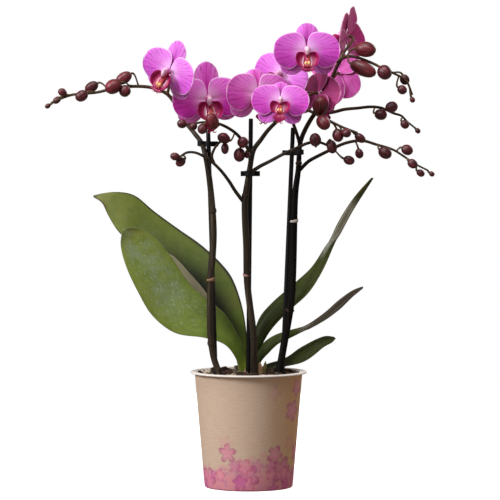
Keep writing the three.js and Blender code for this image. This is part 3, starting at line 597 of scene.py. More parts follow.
def chipKinds():
    # rough chips: a cube with its faces cut finer, then roughened
    kinds = []
    chance = random.Random(bark["seed"])
    noise.seed_set(bark["seed"])
    for i in range(bark["kinds"]):
        bpy.ops.object.select_all(action="DESELECT")
        bpy.ops.mesh.primitive_cube_add(size=1)
        chip = bpy.context.object
        chip.scale = [chance.uniform(low, high) * mm for low, high in bark["chipSize"]]
        applyPlace(chip)
        bpy.ops.object.mode_set(mode="EDIT")
        bpy.ops.mesh.select_all(action="SELECT")
        bpy.ops.mesh.subdivide(number_cuts=4)
        bpy.ops.object.mode_set(mode="OBJECT")
        shift = Vector((i * 3.1, 0, 0))

        def roughen(point):
            wide, fine = (noise.noise_vector(point * fineness + shift) * depth * mm
                          for fineness, depth in bark["grain"])
            return point + wide + fine
        setMesh(chip, roughen)
        smooth(chip, 28)
        kinds.append(chip)
    return kinds


def hasRoom(spot):
    # no loose chip stands in the crown or in a stem's foot
    feet = [Vector((x, y, 0)) for x, y in bark["stemFeet"]]
    return ((spot - crownPlace).length >= bark["crownGap"]
            and all((spot - foot).length >= bark["stemGap"] for foot in feet))


def keepIn(point):
    # inside the clear pot and not above the highest chip
    limit = (potRadius(bark["top"]) - bark["wallGap"]) * mm
    flat = Vector((point.x, point.y, 0))
    if flat.length > limit:
        flat *= limit / flat.length
    return Vector((flat.x, flat.y, min(point.z, bark["highest"] * mm)))


def addBark():
    finishes = [barkFinish("dark bark", paint(34, 22, 17), paint(78, 54, 42)),
                barkFinish("pale bark", paint(142, 124, 104), paint(230, 216, 194)),
                barkFinish("grey bark", paint(52, 42, 36), paint(116, 98, 84))]
    foot, low = potRadius(1) - 4, 3
    top = bark["top"] - 3
    profile = [(0.01, low), (foot - 2, low), (foot, 2 * low), (potRadius(top) - 1.7, top), (0.01, top)]
    parts = [addTurned("bark", profile, finishes[0], pots["sides"] // 2)]
    kinds = chipKinds()
    chance = random.Random(bark["seed"] + 1)
    golden = math.pi * (3 - math.sqrt(5))  # spreads the chips evenly in a spiral
    for i in range(bark["chips"]):
        reach = bark["reach"] * math.sqrt((i + 0.5) / bark["chips"])
        spot = Vector((reach * math.cos(i * golden), reach * math.sin(i * golden), 0))
        if not hasRoom(spot):
            continue
        chip = copyOf(kinds[chance.randrange(len(kinds))])
        tilt = bark["tilt"]
        chip.rotation_euler = (chance.uniform(-tilt, tilt), chance.uniform(-tilt, tilt),
                               chance.uniform(0, wholeTurn))
        chip.location = (spot + Vector((0, 0, bark["top"] + chance.uniform(*bark["rise"])))) * mm
        shares = bark["sharesLeft"] if spot.x < -6 else bark["shares"]
        give(chip, chance.choices(finishes, shares)[0])
        applyPlace(chip)
        setMesh(chip, keepIn)
        parts.append(chip)
    for kind in kinds:
        bpy.data.objects.remove(kind)
    dress(join("barkChips", parts), "bark", "bark")


roots = {
    "count": 4, "turn": 0.9, "middle": (0.5, 5.4), "radii": [2.2, 1.8],
    "run": [(8.4, 54), (20.4, 40), (19.2, 28), (12, 14)],  # reach and height, from the crown down
    "top": [(0.5, 9, 57), (0.5, 9, 65.5)], "start": (0.5, 9, 61), "topRadii": [3.3, 4.2],
}


def rootFinish():
    finish = Finish("roots", {"Specular IOR Level": 0.3})
    place = finish.place()
    patches = finish.noise(place, 140.0, 4.0)
    colour = finish.ramp(patches, [(0.3, paint(128, 132, 104)), (0.55, paint(170, 174, 150)),
                                   (0.75, paint(120, 96, 66))])
    return finish.wire(colour, 0.6 + 0.3 * patches, finish.bump(patches, 0.3, 0.6))


def addRoots():
    finish = rootFinish()
    parts = []
    x, y = roots["middle"]
    for i in range(roots["count"]):
        angle = i / roots["count"] * 2 * math.pi + roots["turn"]
        path = [roots["start"], *[(x + reach * math.cos(angle), y + reach * math.sin(angle), height)
                                  for reach, height in roots["run"]]]
        parts.append(addTube("root", smoothPath(path, 40), roots["radii"], finish))
    top = evenly([Vector(point) for point in roots["top"]], 6)
    parts.append(addTube("rootTop", top, roots["topRadii"], finish))
    dress(join("rootRuns", parts), "root", "roots")


crown = {
    "core": (66, 94), "coreRadii": [4.9, 6.6, 6.4, 5.2, 3],
    # each sheath's turn, radius and the height of its top
    "sheaths": [(3.3, 7.0, 98), (2.7, 6.2, 101), (0.1, 6.6, 99), (-0.6, 7.2, 96), (0.9, 6.0, 97)],
    "sheathFoot": 80, "sheathThickness": 1.2, "sheathHalfTurn": (1.25, 0.45), "sheathDrawn": (1, 0.82),
    "sheathFlare": 0.6, "sheathRound": 3,
    "husks": 6, "huskRadius": 7.4, "huskFoot": 84, "huskTop": 91, "huskThickness": 0.6,
    "huskHalfTurn": 0.34, "huskTwist": 0.2, "huskFlare": 1.6, "huskUneven": 1.5,
}


def aroundCrown(angle, reach, height):
    return crownPlace + Vector((reach * math.cos(angle), reach * math.sin(angle), height))


def sheathFinish():
    finish = Finish("leaf sheath", {"Specular IOR Level": 0.4})
    x, y = finish.parts(finish.uv(), "XY")
    lines = finish.noise(finish.vector(x * 40, y * 3), 1.0, 3.0)
    height = finish.step(y, 0.0, 1.0)
    colour = finish.ramp(height, [(0.0, paint(120, 96, 58)), (0.3, paint(150, 158, 72)),
                                  (0.8, paint(108, 136, 52))])
    colour = finish.mix(lines * 0.5, colour, paint(84, 104, 40))
    return finish.wire(colour, 0.42 + 0.2 * lines, finish.bump(lines, 0.2, 0.6))


def huskFinish(name, dark, pale):
    finish = Finish(name, {"Specular IOR Level": 0.2})
    x, y = finish.parts(finish.uv(), "XY")
    fibres = finish.noise(finish.vector(x * 30, y * 2.5), 1.0, 4.0, 0.6)
    colour = finish.mix(finish.step(fibres, 0.3, 0.7), dark, pale)
    return finish.wire(colour, 0.7 + 0.25 * fibres, finish.bump(fibres, 0.35, 0.9))


def addCrown():
    sheath = sheathFinish()
    inner = huskFinish("sheath inside", paint(120, 120, 60), paint(170, 168, 100))
    dry = huskFinish("dry husk", paint(138, 98, 62), paint(214, 180, 136))
    core = [aroundCrown(0, 0, height) for height in crown["core"]]
    parts = [addTube("crownCore", evenly(core, 12), crown["coreRadii"], sheath, 4)]
    for turn, radius, top in crown["sheaths"]:
        def sheathSurface(u, v):
            angle = turn + v * between(*crown["sheathHalfTurn"], u)
            reach = radius * between(*crown["sheathDrawn"], u) + crown["sheathFlare"] * u * u
            height = between(crown["sheathFoot"], top, u) - crown["sheathRound"] * v * v * u
            return aroundCrown(angle, reach, height)
        parts.append(addBlade("sheath", sheathSurface, (10, 12), crown["sheathThickness"], (sheath, inner)))
    for i in range(crown["husks"]):
        turn = i / crown["husks"] * 2 * math.pi
        top = crown["huskTop"] + crown["huskUneven"] * (i % 3)

        def huskSurface(u, v):
            angle = turn + v * crown["huskHalfTurn"] * (1 - u) + crown["huskTwist"] * u
            reach = crown["huskRadius"] + crown["huskFlare"] * u
            return aroundCrown(angle, reach, between(crown["huskFoot"], top, u))
        parts.append(addBlade("husk", huskSurface, (6, 10), crown["huskThickness"], (dry, dry)))
    dress(join("crownSheaths", parts), "crown_green", "crown")


stub = {
    "thickness": 0.9, "steps": (8, 16), "blunt": 0.95,  # the tip is cut at this share of its path
    "blades": [
        {"path": [(8.5, -1.5, 84), (9, -2, 92), (8, -2.4, 97)], "width": 2.6,
         "finish": ("pale stub", paint(164, 122, 84), paint(222, 190, 146))},
        {"path": [(11.5, 0, 84), (12.4, -0.5, 91), (12.8, -0.6, 97.5)], "width": 2.2,
         "finish": ("olive stub", paint(92, 86, 50), paint(150, 134, 84))},
    ],
}


def addStub():
    parts = []
    for blade in stub["blades"]:
        finish = huskFinish(*blade["finish"])
        line = smoothPath(blade["path"], 20)

        def stubSurface(u, v):
            half = blade["width"] * (1 - 0.8 * u ** 2)
            curl = Vector((half * math.sin(v * 1.2), half * (0.6 - math.cos(v * 1.2)), v * u))
            return atShare(line, min(u, stub["blunt"])) + curl
        parts.append(addBlade("stubBlade", stubSurface, stub["steps"], stub["thickness"], (finish, finish)))
    dress(join("dryStub", parts), "dry_husk", "dry_stub")


addBark()
addRoots()
addCrown()
addStub()
print("bark and crown ready")


# Leaves: near edge, far edge and depth of the trough, from the crown to the tip

leafForm = {"thickness": 1.5, "steps": (28, 60), "thinEdge": 0.4, "groove": 0.7, "ripple": 0.5}
plainLeaf = {
    # what a leaf has unless it says otherwise, mostly how much of each finish shows
    # deep is its share, where it begins and ends across, and where it begins and ends along
    # lens is where it begins and ends along, its edge across, its shade and its pale streaks
    "fall": None, "flip": True, "rim": 0.94, "dust": 0.1, "warm": 0.0, "lift": 0.0, "rib": 0.1,
    "tip": paint(52, 36, 32), "deep": None, "lens": None,
}
# dark is painted shade, how far a leaf in shadow is darkened; lift is painted light, how far a lit leaf is
# made paler
leaves = {
    "leaf_left_front": {
        "near": [(-5, 2, 86), (-10, -1, 100), (-18, -5, 110), (-34, -10, 116.5), (-57, -18, 121),
                 (-74, -23, 134), (-85, -24, 153), (-94, -22, 173), (-98, -19, 188), (-96.8, -16.5, 199)],
        "far": [(-1, 5, 90), (-2, 6, 104), (-8, 6, 117), (-18, 5, 133), (-31, 3, 144.5), (-45, 2, 157),
                (-59, 0, 177), (-71, -4, 191.8), (-83, -9, 200.8), (-94.6, -15, 200.8)],
        "trough": [2, 1, 0.5, 1, 2, 3, 2.5, 2, 1.5, 0.5],
        "margin": paint(104, 112, 74), "tip": paint(134, 152, 104), "dark": 0.0,
        "deep": (0.62, 0.4, 0.95, 0.25, 0.72), "rim": 0.955, "dust": 1.0, "warm": 0.1, "lift": 0.2,
        "rib": 0.0, "flip": False,
    },
    "leaf_left_back": {
        "near": [(-6, 9, 86), (-9, 9, 103), (-14, 9, 120), (-25, 10, 138), (-33, 11, 151), (-45, 13, 165),
                 (-61, 15, 180), (-82, 17, 186), (-98, 19, 194), (-109, 23, 209),
                 (-114, 25.5, 218.8), (-121, 28, 223.6)],
        "far": [(-2, 13, 88), (-1, 15, 108), (-4, 19, 135), (-12, 25, 159), (-21, 29, 171), (-38, 35, 187),
                (-55, 38, 199), (-75, 38, 213), (-90, 35, 224.8), (-105, 31, 227.8),
                (-114.5, 30, 227), (-121.5, 29, 224.8)],
        "trough": [2, 5, 10, 15, 17, 17, 14, 8, 4, 2, 1, 0.3], "fall": (-0.75, 0.15, -0.63),
        "margin": paint(34, 20, 24), "dark": 0.09, "deep": (1.0, 1.0, 0.6, 0.36, 0.8),
        "rim": 0.93, "dust": 0.15, "warm": 1.0, "flip": False,
    },
    "leaf_right_tall": {
        "near": [(6, 9, 90), (9, 9, 105), (16, 9, 119), (29, 9, 133), (46, 10, 149), (58, 13, 168),
                 (67, 20, 187), (76, 24, 206), (85.5, 24, 221), (97.5, 24, 239)],
        "far": [(2, 13, 90), (4, 15, 112), (8, 19, 128), (18, 23, 141), (36, 27, 156), (50, 28, 168),
                (61, 23, 186), (70, 15, 206), (81.5, 18, 223), (96, 23, 239)],
        "trough": [2, 3, 4, 4, 4, 3, 3, 3, 2, 0.3],
        "margin": paint(140, 128, 92), "dark": 0.93, "rim": 0.93, "warm": 1.0,
        "lens": (0.62, 0.88, 0.35, paint(130, 130, 106), paint(224, 224, 212)),
    },
    "leaf_right_middle": {
        "near": [(8, 6, 90), (10, 5, 97), (15, 4.6, 103), (23, 4.8, 110), (32, 5.5, 114.5), (40, 9, 119),
                 (50, 14, 124), (61, 18, 130), (71, 19, 137), (81, 17, 147), (89, 13, 153.5)],
        "far": [(6, 9, 90), (8.5, 11, 103), (13, 13, 111), (21, 15, 116), (30, 15, 119), (40, 12, 122),
                (49, 8, 127), (59, 6, 135), (69, 7, 144), (80, 10, 151), (89, 12, 154.5)],
        "trough": [2, 3, 3, 3, 2.5, 1.5, 1.5, 2, 2, 1, 0.3],
        "margin": paint(96, 88, 76), "dark": 0.78, "warm": 0.2,
        "lens": (0.5, 1.1, 1.2, paint(82, 72, 68), paint(158, 150, 140)),
    },
    "leaf_right_low": {
        "near": [(6, 9, 86), (14, 9, 90.5), (24, 9, 91.5), (33, 9, 93), (42, 11, 96), (51, 13, 101),
                 (59, 15, 107), (65, 17, 111), (68, 18.5, 113.6)],
        "far": [(6, 14, 86), (15, 19, 92), (26, 23, 96), (31, 24, 99), (36, 25, 102.5), (43, 25, 107),
                (51, 24, 112), (59, 22, 114.8), (67, 20, 114.4)],
        "trough": [1.5, 2, 2, 2, 2, 2, 1.5, 1, 0.3],
        "margin": paint(110, 120, 92), "dark": 0.97, "dust": 0.15, "rib": 0.8,
    },
}


def leafTopFinish(name, leaf):
    finish = Finish(name + "_top", {"Specular IOR Level": 0.28 - 0.17 * leaf["dark"]})
    x, y = finish.parts(finish.uv(), "XY")
    place = finish.place()
    across = (x - 0.5).calc("ABSOLUTE") * 2  # 0 on the midrib, 1 at the edge
    lines = finish.noise(finish.vector(x * 70, y * 2.2), 1.0, 3.0, 0.6)
    blotch = finish.noise(place, 38.0, 4.0)
    fine = finish.noise(place, 420.0, 4.0)
    green = finish.ramp(y, [(0.0, paint(168, 184, 62)), (0.12, paint(116, 142, 44)),
                            (0.4, paint(122, 140, 58)), (0.8, paint(130, 142, 62)),
                            (0.945, paint(126, 124, 58)), (0.98, leaf["tip"])])
    green = finish.mix(finish.step(blotch, 0.4, 0.7) * 0.35, green, paint(104, 126, 50))
    warm = finish.step(finish.noise(place, 24.0, 3.0), 0.45, 0.7) * leaf["warm"]
    green = finish.mix(warm * 0.5, green, paint(146, 126, 66))
    # painted shade: a leaf that lies in shadow is darkened by its dark share, most towards the crown
    foot = 1 - finish.step(y, 0.1, 0.55)
    green = finish.mix(leaf["dark"] * (0.85 + 0.35 * foot), green, paint(26, 31, 9))
    # painted light: a lit leaf is made paler all over by its lift share
    green = finish.mix(leaf["lift"], green, paint(152, 182, 72))
    mottle = finish.step(finish.noise(place, 130.0, 3.0, 0.6), 0.42, 0.66)
    green = finish.mix(mottle * (0.3 - 0.25 * leaf["dark"]), green, paint(84, 108, 40))
    green = finish.mix((lines - 0.35) * 0.3, green, paint(146, 160, 90))
    if leaf["deep"]:  # the shaded hollow by the crown
        share, pale, dark, low, high = leaf["deep"]
        deep = (0.4 + 0.6 * finish.step(x, pale, dark)) * (1 - finish.step(y, low, high))
        green = finish.mix(deep * finish.step(y, 0.03, 0.12) * share, green, paint(14, 20, 5))
    rib = 1 - finish.step(across, 0.015, 0.07)
    green = finish.mix(rib * leaf["rib"], green, paint(132, 146, 104))
    if leaf["lens"]:  # a stretch that shows its dull, streaked side
        low, high, rim, shade, pale = leaf["lens"]
        streaks = finish.noise(finish.vector(x * 16, y * 3), 1.0, 2.0, 0.5)
        dull = finish.mix(finish.step(streaks, 0.35, 0.65), shade, pale)
        window = finish.step(y, low - 0.04, low + 0.05) * (1 - finish.step(y, high - 0.05, high + 0.03))
        window = window * (1 - finish.step(x, rim + 0.25, rim + 0.5))
        green = finish.mix(window * 0.9, green, dull)
    # a dull film of dust and fine scratches, thickest in the upper middle
    dusty = finish.step(y, 0.4, 0.66) * (1 - finish.step(y, 0.88, 1.0)) * (1 - finish.step(across, 0.5, 1.0))
    film = finish.step(finish.noise(place, 70.0, 5.0, 0.7), 0.36, 0.68) * dusty * leaf["dust"]
    green = finish.mix(film * 0.6, green, paint(140, 158, 136))
    slanted = finish.vector(x * 62 + y * 30, y * 20 - x * 5)
    scratch = finish.step(finish.noise(slanted, 1.5, 5.0, 0.75), 0.575, 0.645)
    specks = finish.step(finish.noise(place, 640.0, 2.0), 0.66, 0.74)
    scratched = finish.step(y, 0.3, 0.5) * (1 - finish.step(across, 0.6, 1.0))
    marks = scratch.calc("MAXIMUM", specks * film) * scratched
    green = finish.mix(marks * 0.9 * leaf["dust"], green, paint(214, 222, 204))
    tip = finish.step(y, 0.86, 1.0)
    margin = finish.step(across + tip * 0.22, leaf["rim"], leaf["rim"] + 0.05)
    green = finish.mix(margin * 0.9, green, leaf["margin"])
    relief = lines * 0.6 + fine * 0.1 - rib * 0.5
    return finish.wire(green, 0.42 + 0.2 * fine + film * 0.3, finish.bump(relief, 0.2, 0.4))


def leafUnderFinish():
    finish = Finish("leaf under", {"Specular IOR Level": 0.35})
    x, y = finish.parts(finish.uv(), "XY")
    streaks = finish.noise(finish.vector(x * 46, y * 4), 1.0, 4.0, 0.65)
    blotch = finish.noise(finish.place(), 45.0, 4.0)
    colour = finish.ramp(streaks, [(0.25, paint(114, 108, 84)), (0.5, paint(160, 156, 126)),
                                   (0.75, paint(186, 182, 154))])
    colour = finish.mix(finish.step(blotch, 0.45, 0.75) * 0.3, colour, paint(120, 92, 92))
    colour = finish.mix((1 - finish.step(y, 0.05, 0.35)) * 0.8, colour, paint(122, 136, 66))
    return finish.wire(colour, 0.5 + 0.25 * streaks, finish.bump(streaks, 0.25, 0.5))


def addLeaves():
    under = leafUnderFinish()
    for name, own in leaves.items():
        leaf = {**plainLeaf, **own}
        trough = troughSurface(leaf["near"], leaf["far"], leaf["trough"], leaf["fall"])
        side = -1 if leaf["flip"] else 1

        def surface(u, v):
            groove = leaf["rib"] * leafForm["groove"] * math.exp(-(v / 0.08) ** 2)  # the midrib's line
            ripple = leafForm["ripple"] * math.sin(u * 17 + v * 2) * v ** 4 * min(1, 4 * u)
            return trough(u, side * v) + Vector((0, 0, ripple - groove))
        blade = addBlade(name + "_blade", surface, leafForm["steps"], leafForm["thickness"],
                         (leafTopFinish(name, leaf), under), thinEdge=leafForm["thinEdge"])
        dress(blade, "leaf", name)


addLeaves()
print("leaves ready")


# Open flowers: where each stands, which way it faces and its size

flowers = {
    # turn to the viewer's right, tilt upwards, roll anticlockwise, in degrees
    # sepals: length of the top one, its bend and the angle of the low ones, with "low" as their own length
    # tongue: the share of its length that the lip's tongue keeps; bend: how far the petals arch
    "bloom_1": {"at": (-59.8, -30, 320.5), "turn": -35, "tilt": -4, "roll": -24, "size": 1.0,
                "sepals": (25, -2, 128), "tongue": 0.4, "tone": "light"},
    "bloom_2": {"at": (-31.5, -17, 299.5), "turn": 12, "tilt": -6, "roll": 4, "size": 1.12,
                "sepals": (26, -1, 120), "tone": "rich"},
    "bloom_3": {"at": (6.8, -24, 303.8), "turn": 22, "tilt": 0, "roll": 0, "size": 1.06,
                "sepals": (18, -5, 128), "tone": "deep"},
    "bloom_4": {"at": (24, -42, 297.5), "turn": 0, "tilt": 14, "roll": -3, "size": 0.88,
                "sepals": (19, -4, 134), "tone": "mid"},
    "bloom_5": {"at": (44.3, -27, 336), "turn": 2, "tilt": 4, "roll": 0, "size": 1.02,
                "sepals": (22, -4, 126), "tongue": 0.4, "tone": "mid"},
    "bloom_6": {"at": (26, 3, 318), "turn": -30, "tilt": 8, "roll": -24, "size": 0.98,
                "sepals": (20, -4, 128), "tone": "light"},
    "bloom_7": {"at": (54.5, -8, 304), "turn": 124, "tilt": -10, "roll": 8, "size": 1.0,
                "sepals": (24, -2, 128), "tone": "shade"},
    "bloom_8": {"at": (76.5, 28, 349), "turn": -114, "tilt": 3, "roll": 20, "size": 1.0,
                "sepals": (25, -1, 122), "bend": -6, "tone": "dusk"},
    "bloom_9": {"at": (71, 30, 320), "turn": 150, "tilt": -12, "roll": 50, "size": 0.88,
                "sepals": (23, -2, 128), "low": 29, "tone": "deep"},
}
# painted light and shade: each tone holds the petal colours made lighter for blooms that face the light and
# darker for blooms in shadow, besides real differences between blooms
tones = {
    # rim, glow round the middle, pale upper part, body, veins and back
    "light": (paint(248, 202, 244), paint(244, 206, 246), paint(232, 138, 234), paint(218, 92, 216),
              paint(172, 26, 160), paint(208, 96, 190)),
    "mid": (paint(248, 196, 240), paint(240, 200, 242), paint(226, 122, 226), paint(208, 68, 196),
            paint(156, 16, 138), paint(196, 78, 168)),
    "deep": (paint(254, 206, 246), paint(252, 210, 246), paint(248, 142, 236), paint(240, 86, 214),
             paint(186, 24, 150), paint(222, 92, 184)),
    "rich": (paint(255, 214, 250), paint(255, 220, 252), paint(255, 150, 250), paint(255, 66, 232),
             paint(206, 28, 168), paint(236, 96, 196)),
    "shade": (paint(226, 150, 192), paint(206, 120, 168), paint(176, 66, 134), paint(160, 44, 112),
              paint(112, 12, 72), paint(172, 58, 120)),
    "dusk": (paint(250, 180, 220), paint(236, 160, 210), paint(214, 80, 168), paint(196, 50, 146),
             paint(140, 14, 94), paint(240, 66, 172)),
}
flowerForm = {
    "seed": 40, "thickness": 0.62, "root": 1.3, "petalAngle": 85, "nudge": 2.5, "droop": 0.6,
    "mainVeins": 22, "fineVeins": 40, "ribDepth": 0.45, "ribWidth": 0.09,
    "ripples": [(9, 1, 1), (17, 0.6, -2)],  # how close they follow, how high and how slanted they are
    "mapSize": 60,  # millimetres across the flat petal map
    "hub": (0, 0, -0.3), "hubSize": (2.2, 2.2, 1.7),
}
petal = {"length": 25, "half": 14, "lift": 1, "arch": 1.6, "cup": 1.6, "peak": 0.46, "claw": 0.12,
         "tipPower": 0.5, "wave": 0.5, "shoulder": 7, "steps": (18, 20)}
sepal = {"length": 23.5, "half": 8.8, "lift": -1, "arch": -2.2, "cup": 1, "peak": 0.55, "claw": 0.12,
         "tipPower": 0.62, "wave": 0.3, "shoulder": 0, "steps": (12, 18)}


def flowerPlace(flower):
    turn, tilt, roll = (math.radians(flower[key]) for key in ("turn", "tilt", "roll"))
    return (Matrix.Translation(Vector(flower["at"]) * mm) @ Matrix.Rotation(math.pi / 2, 4, "X")
            @ Matrix.Rotation(turn, 4, "Y") @ Matrix.Rotation(-tilt, 4, "X") @ Matrix.Rotation(roll, 4, "Z")
            @ Matrix.Scale(flower["size"], 4))


def petalFinish(name, tone, kind):
    rim, glow, pale, body, veinColour, back = tones[tone]
    finish = Finish(name, {"Specular IOR Level": 0.3, "Sheen Weight": 0.08, "Sheen Roughness": 0.5,
                           "Subsurface Weight": 0.08, "Subsurface Scale": 0.0015})
    flatX, flatY = finish.parts(finish.uv("flat"), "XY")
    size = flowerForm["mapSize"]
    px, py = (flatX - 0.5) * size, flatY * size  # px rises towards the top of the flower
    flat = finish.vector(px, py)
    x, y = finish.parts(finish.uv(), "XY")
    across = (x - 0.5).calc("ABSOLUTE") * 2
    reach = (px * px + py * py).calc("SQRT") / petal["length"]
    warp = finish.noise(flat, 0.16, 3.0) - 0.5
    angle = px.calc("ARCTAN2", py + 2.5) + warp * 0.2
    soft = finish.noise(flat, 0.1, 3.0)
    broken = finish.noise(finish.vector(angle * 9, reach * 2.6), 1.0, 3.0, 0.6)
    edge = finish.step(across, 0.9, 0.985).calc("MAXIMUM", finish.step(y, 0.86, 0.95))
    mainVeins = 1 - finish.step((angle * flowerForm["mainVeins"]).wave(), 0.0, 0.5)
    fineVeins = 1 - finish.step((angle * flowerForm["fineVeins"] + 0.6).wave(), 0.0, 0.6)
    veins = mainVeins.calc("MAXIMUM", fineVeins * 0.4 * finish.step(reach, 0.45, 0.7))
    veins = veins * finish.step(reach, 0.2, 0.45) * (1 - edge) * (0.35 + finish.step(broken, 0.35, 0.6))
    if kind == "back":
        colour = finish.mix(soft * 0.5, back, veinColour)
        ridge = 1 - finish.step(across, 0.0, 0.25)
        colour = finish.mix(ridge * 0.25, colour, pale)
        colour = finish.mix(edge * 0.8, colour, rim)
        colour = finish.mix(veins * 0.35, colour, veinColour)
    elif kind == "sepal":
        colour = finish.mix(0.35 + 0.65 * finish.step(across, 0.1, 0.9), body, pale)
        colour = finish.mix(finish.step(reach, 0.3, 0.05) * 0.6, colour, glow)
        # partly painted shade: darker along the middle towards the base, where the petals lie over the sepal,
        # besides its real dark midline
        middle = 1 - finish.step(across, 0.05, 0.4)
        colour = finish.mix(middle * finish.step(reach, 0.85, 0.35) * 0.7, colour, veinColour)
        colour = finish.mix(veins * 0.6, colour, veinColour)
        colour = finish.mix(edge * 0.75, colour, rim)
    else:
        upper = finish.step(px, -7, 9)
        colour = finish.mix(upper * 0.85, body, pale)
        colour = finish.mix(finish.step(reach, 0.55, 0.95) * 0.5, colour, body)
        colour = finish.mix(finish.step(reach, 0.55, 0.08) * 0.8, colour, glow)
        colour = finish.mix(soft * 0.25, colour, body)
        colour = finish.mix(veins * 0.62, colour, veinColour)
        colour = finish.mix(edge * 0.8, colour, rim)
    velvet = finish.noise(flat, 3.2, 2.0)
    relief = velvet * 0.4 - veins * 0.6
    return finish.wire(colour, 0.45 + 0.15 * soft, finish.bump(relief, 0.15, 0.5))


def outline(u, form):
    # the share of its full width that a petal has at u: a narrow claw, a full middle, a round tip
    if u < form["peak"]:
        return form["claw"] + (1 - form["claw"]) * math.sin(u / form["peak"] * math.pi / 2)
    rest = (u - form["peak"]) / (1 - form["peak"])
    return max((1 - rest ** 2.2) ** form["tipPower"], 0.05)


def addPetal(name, form, angle, finishes, chance):
    turn = Matrix.Rotation(math.radians(-angle), 3, "Z")
    shifts = [chance.uniform(0, wholeTurn) for i in range(3)]  # one for each ripple and one spare
    droop = chance.uniform(-flowerForm["droop"], flowerForm["droop"])
    up = 1 if form["shoulder"] and angle < 0 else -1  # which edge is the upper one
    root, size = flowerForm["root"], flowerForm["mapSize"]
    ribDepth, ribWidth = flowerForm["ribDepth"], flowerForm["ribWidth"]

    def lay(u, v):
        # a place on the flat petal, then its share of the length and of the full width
        spaced = 1 - (1 - u) ** 1.5
        share = outline(spaced, form)
        drawnIn = form["shoulder"] * share * max(0, up * v) * (1 - spaced) ** 0.8
        along = root + (form["length"] - root) * spaced - drawnIn
        return form["half"] * share * v, along, spaced, share

    def surface(u, v):
        x, y, spaced, share = lay(u, v)
        ripple = sum(high * math.sin(spaced * close + shift + slant * v)
                     for (close, high, slant), shift in zip(flowerForm["ripples"], shifts))
        wave = form["wave"] * v * v * spaced * ripple
        rib = ribDepth * math.exp(-(v * share / ribWidth) ** 2) * (1 - spaced)
        arch = (form["arch"] + droop) * spaced ** 2
        cup = form["cup"] * v * v * share ** 2
        return turn @ Vector((x, y, form["lift"] + arch - cup + wave - rib))

    def flat(u, v):
        x, y = lay(u, v)[:2]
        return (up * x / size + 0.5, y / size)
    return addBlade(name, surface, form["steps"], flowerForm["thickness"], finishes, flat, 0.5)


lip = {
    "sideLow": [(1, -2.6, 3.6), (2.4, -6.5, 5.6), (2.6, -10.5, 8), (1.2, -13, 9.6)],
    "sideHigh": [(2.4, -0.8, 4.4), (7, -0.9, 7.6), (8.9, -5.8, 10.4), (7, -11, 11.2), (1.8, -13.6, 10.2)],
    "sideBulge": [-0.3, -1.8, -2.4, -1.4, 0],
    "frontEdge": [(1, -11, 8.6), (2.8, -13.6, 10.4), (6.2, -16, 11.2), (3.8, -18.8, 10.8), (0.7, -21, 10.2)],
    "frontBulge": [-0.4, -1, -0.8, -0.3, 0],
    "column": [(0, 1, 2.4), (0, 1.6, 5.4), (0, -1.6, 8.6)], "columnRadii": [1.6, 2.2, 1.9],
    "foot": [(0, -0.2, 3), (0, -13, 9.6)], "footRadii": [2.0, 2.6],
    "tendril": [(0.6, -20.2, 10), (1.3, -21.4, 10.4), (2.4, -21.6, 11), (2.9, -20.6, 11.4)],
    "tendrilRadii": [0.5, 0.4, 0.2],
    "callus": (1.15, -9.8, 9.6), "callusSize": (1.2, 1.7, 1.7), "callusTilt": 0.5,
    "cap": (0, -0.4, 8.0), "capSize": (1.9, 3.2, 1.9),
    "stigma": (0, -3.7, 8.2), "stigmaSize": (1.2, 0.8, 1.2),
    "thickness": 0.7, "drawnFrom": -13,  # a short tongue is drawn in from here
}
lipFlesh = {"Specular IOR Level": 0.4, "Subsurface Weight": 0.08, "Subsurface Scale": 0.001}


def sideLobeFinish():
    # pale along its inner edge, yellow by the callus, crimson outwards
    finish = Finish("side lobe", lipFlesh)
    x, y = finish.parts(finish.uv("flat"), "XY")
    lines = finish.noise(finish.vector(x * 4, y * 9), 1.4, 3.0)
    colour = finish.ramp(x, [(0.0, paint(192, 40, 108)), (0.3, paint(156, 12, 82)),
                             (0.75, paint(160, 14, 88)), (1.0, paint(206, 48, 138))])
    colour = finish.mix(finish.step(lines, 0.45, 0.7) * 0.5, colour, paint(120, 6, 62))
    inner = 1 - finish.step(x + (lines - 0.5) * 0.12, 0.03, 0.15)
    edge = finish.mix(finish.step(y, 0.55, 0.85), paint(246, 206, 226), paint(252, 214, 140))
    colour = finish.mix(inner * 0.9, colour, edge)
    return finish.wire(colour, 0.34 + 0.15 * lines, finish.bump(lines, 0.15, 0.5))


def lobeFinish(name, root, body, edge):
    finish = Finish(name, lipFlesh)
    x, y = finish.parts(finish.uv(), "XY")
    lines = finish.noise(finish.vector(x * 16, y * 3), 1.6, 3.0)
    colour = finish.ramp(y, [(0.0, root), (0.22, body), (0.85, body), (1.0, edge)])
    colour = finish.mix(finish.step(lines, 0.45, 0.7) * 0.6, colour, paint(132, 8, 72))
    return finish.wire(colour, 0.34 + 0.15 * lines, finish.bump(lines, 0.15, 0.5))


def columnFinish(name, pale, deep):
    finish = Finish(name, {**lipFlesh, "Subsurface Weight": 0.1})
    soft = finish.noise(finish.place(), 260.0, 3.0)
    colour = finish.mix(finish.step(soft, 0.35, 0.7), pale, deep)
    return finish.wire(colour, 0.35 + 0.2 * soft, finish.bump(soft, 0.1, 0.4))


def callusFinish():
    finish = Finish("callus", {"Specular IOR Level": 0.45})
    place = finish.place()
    spots = finish.step(finish.cells(place, 1100.0), 0.3, 0.2)
    soft = finish.noise(place, 500.0, 3.0)
    colour = finish.mix(soft, paint(254, 226, 160), paint(244, 172, 84))
    colour = finish.mix(spots * 0.85, colour, paint(178, 30, 44))
    return finish.wire(colour, 0.35 + 0.2 * soft, finish.bump(soft, 0.15, 0.5))


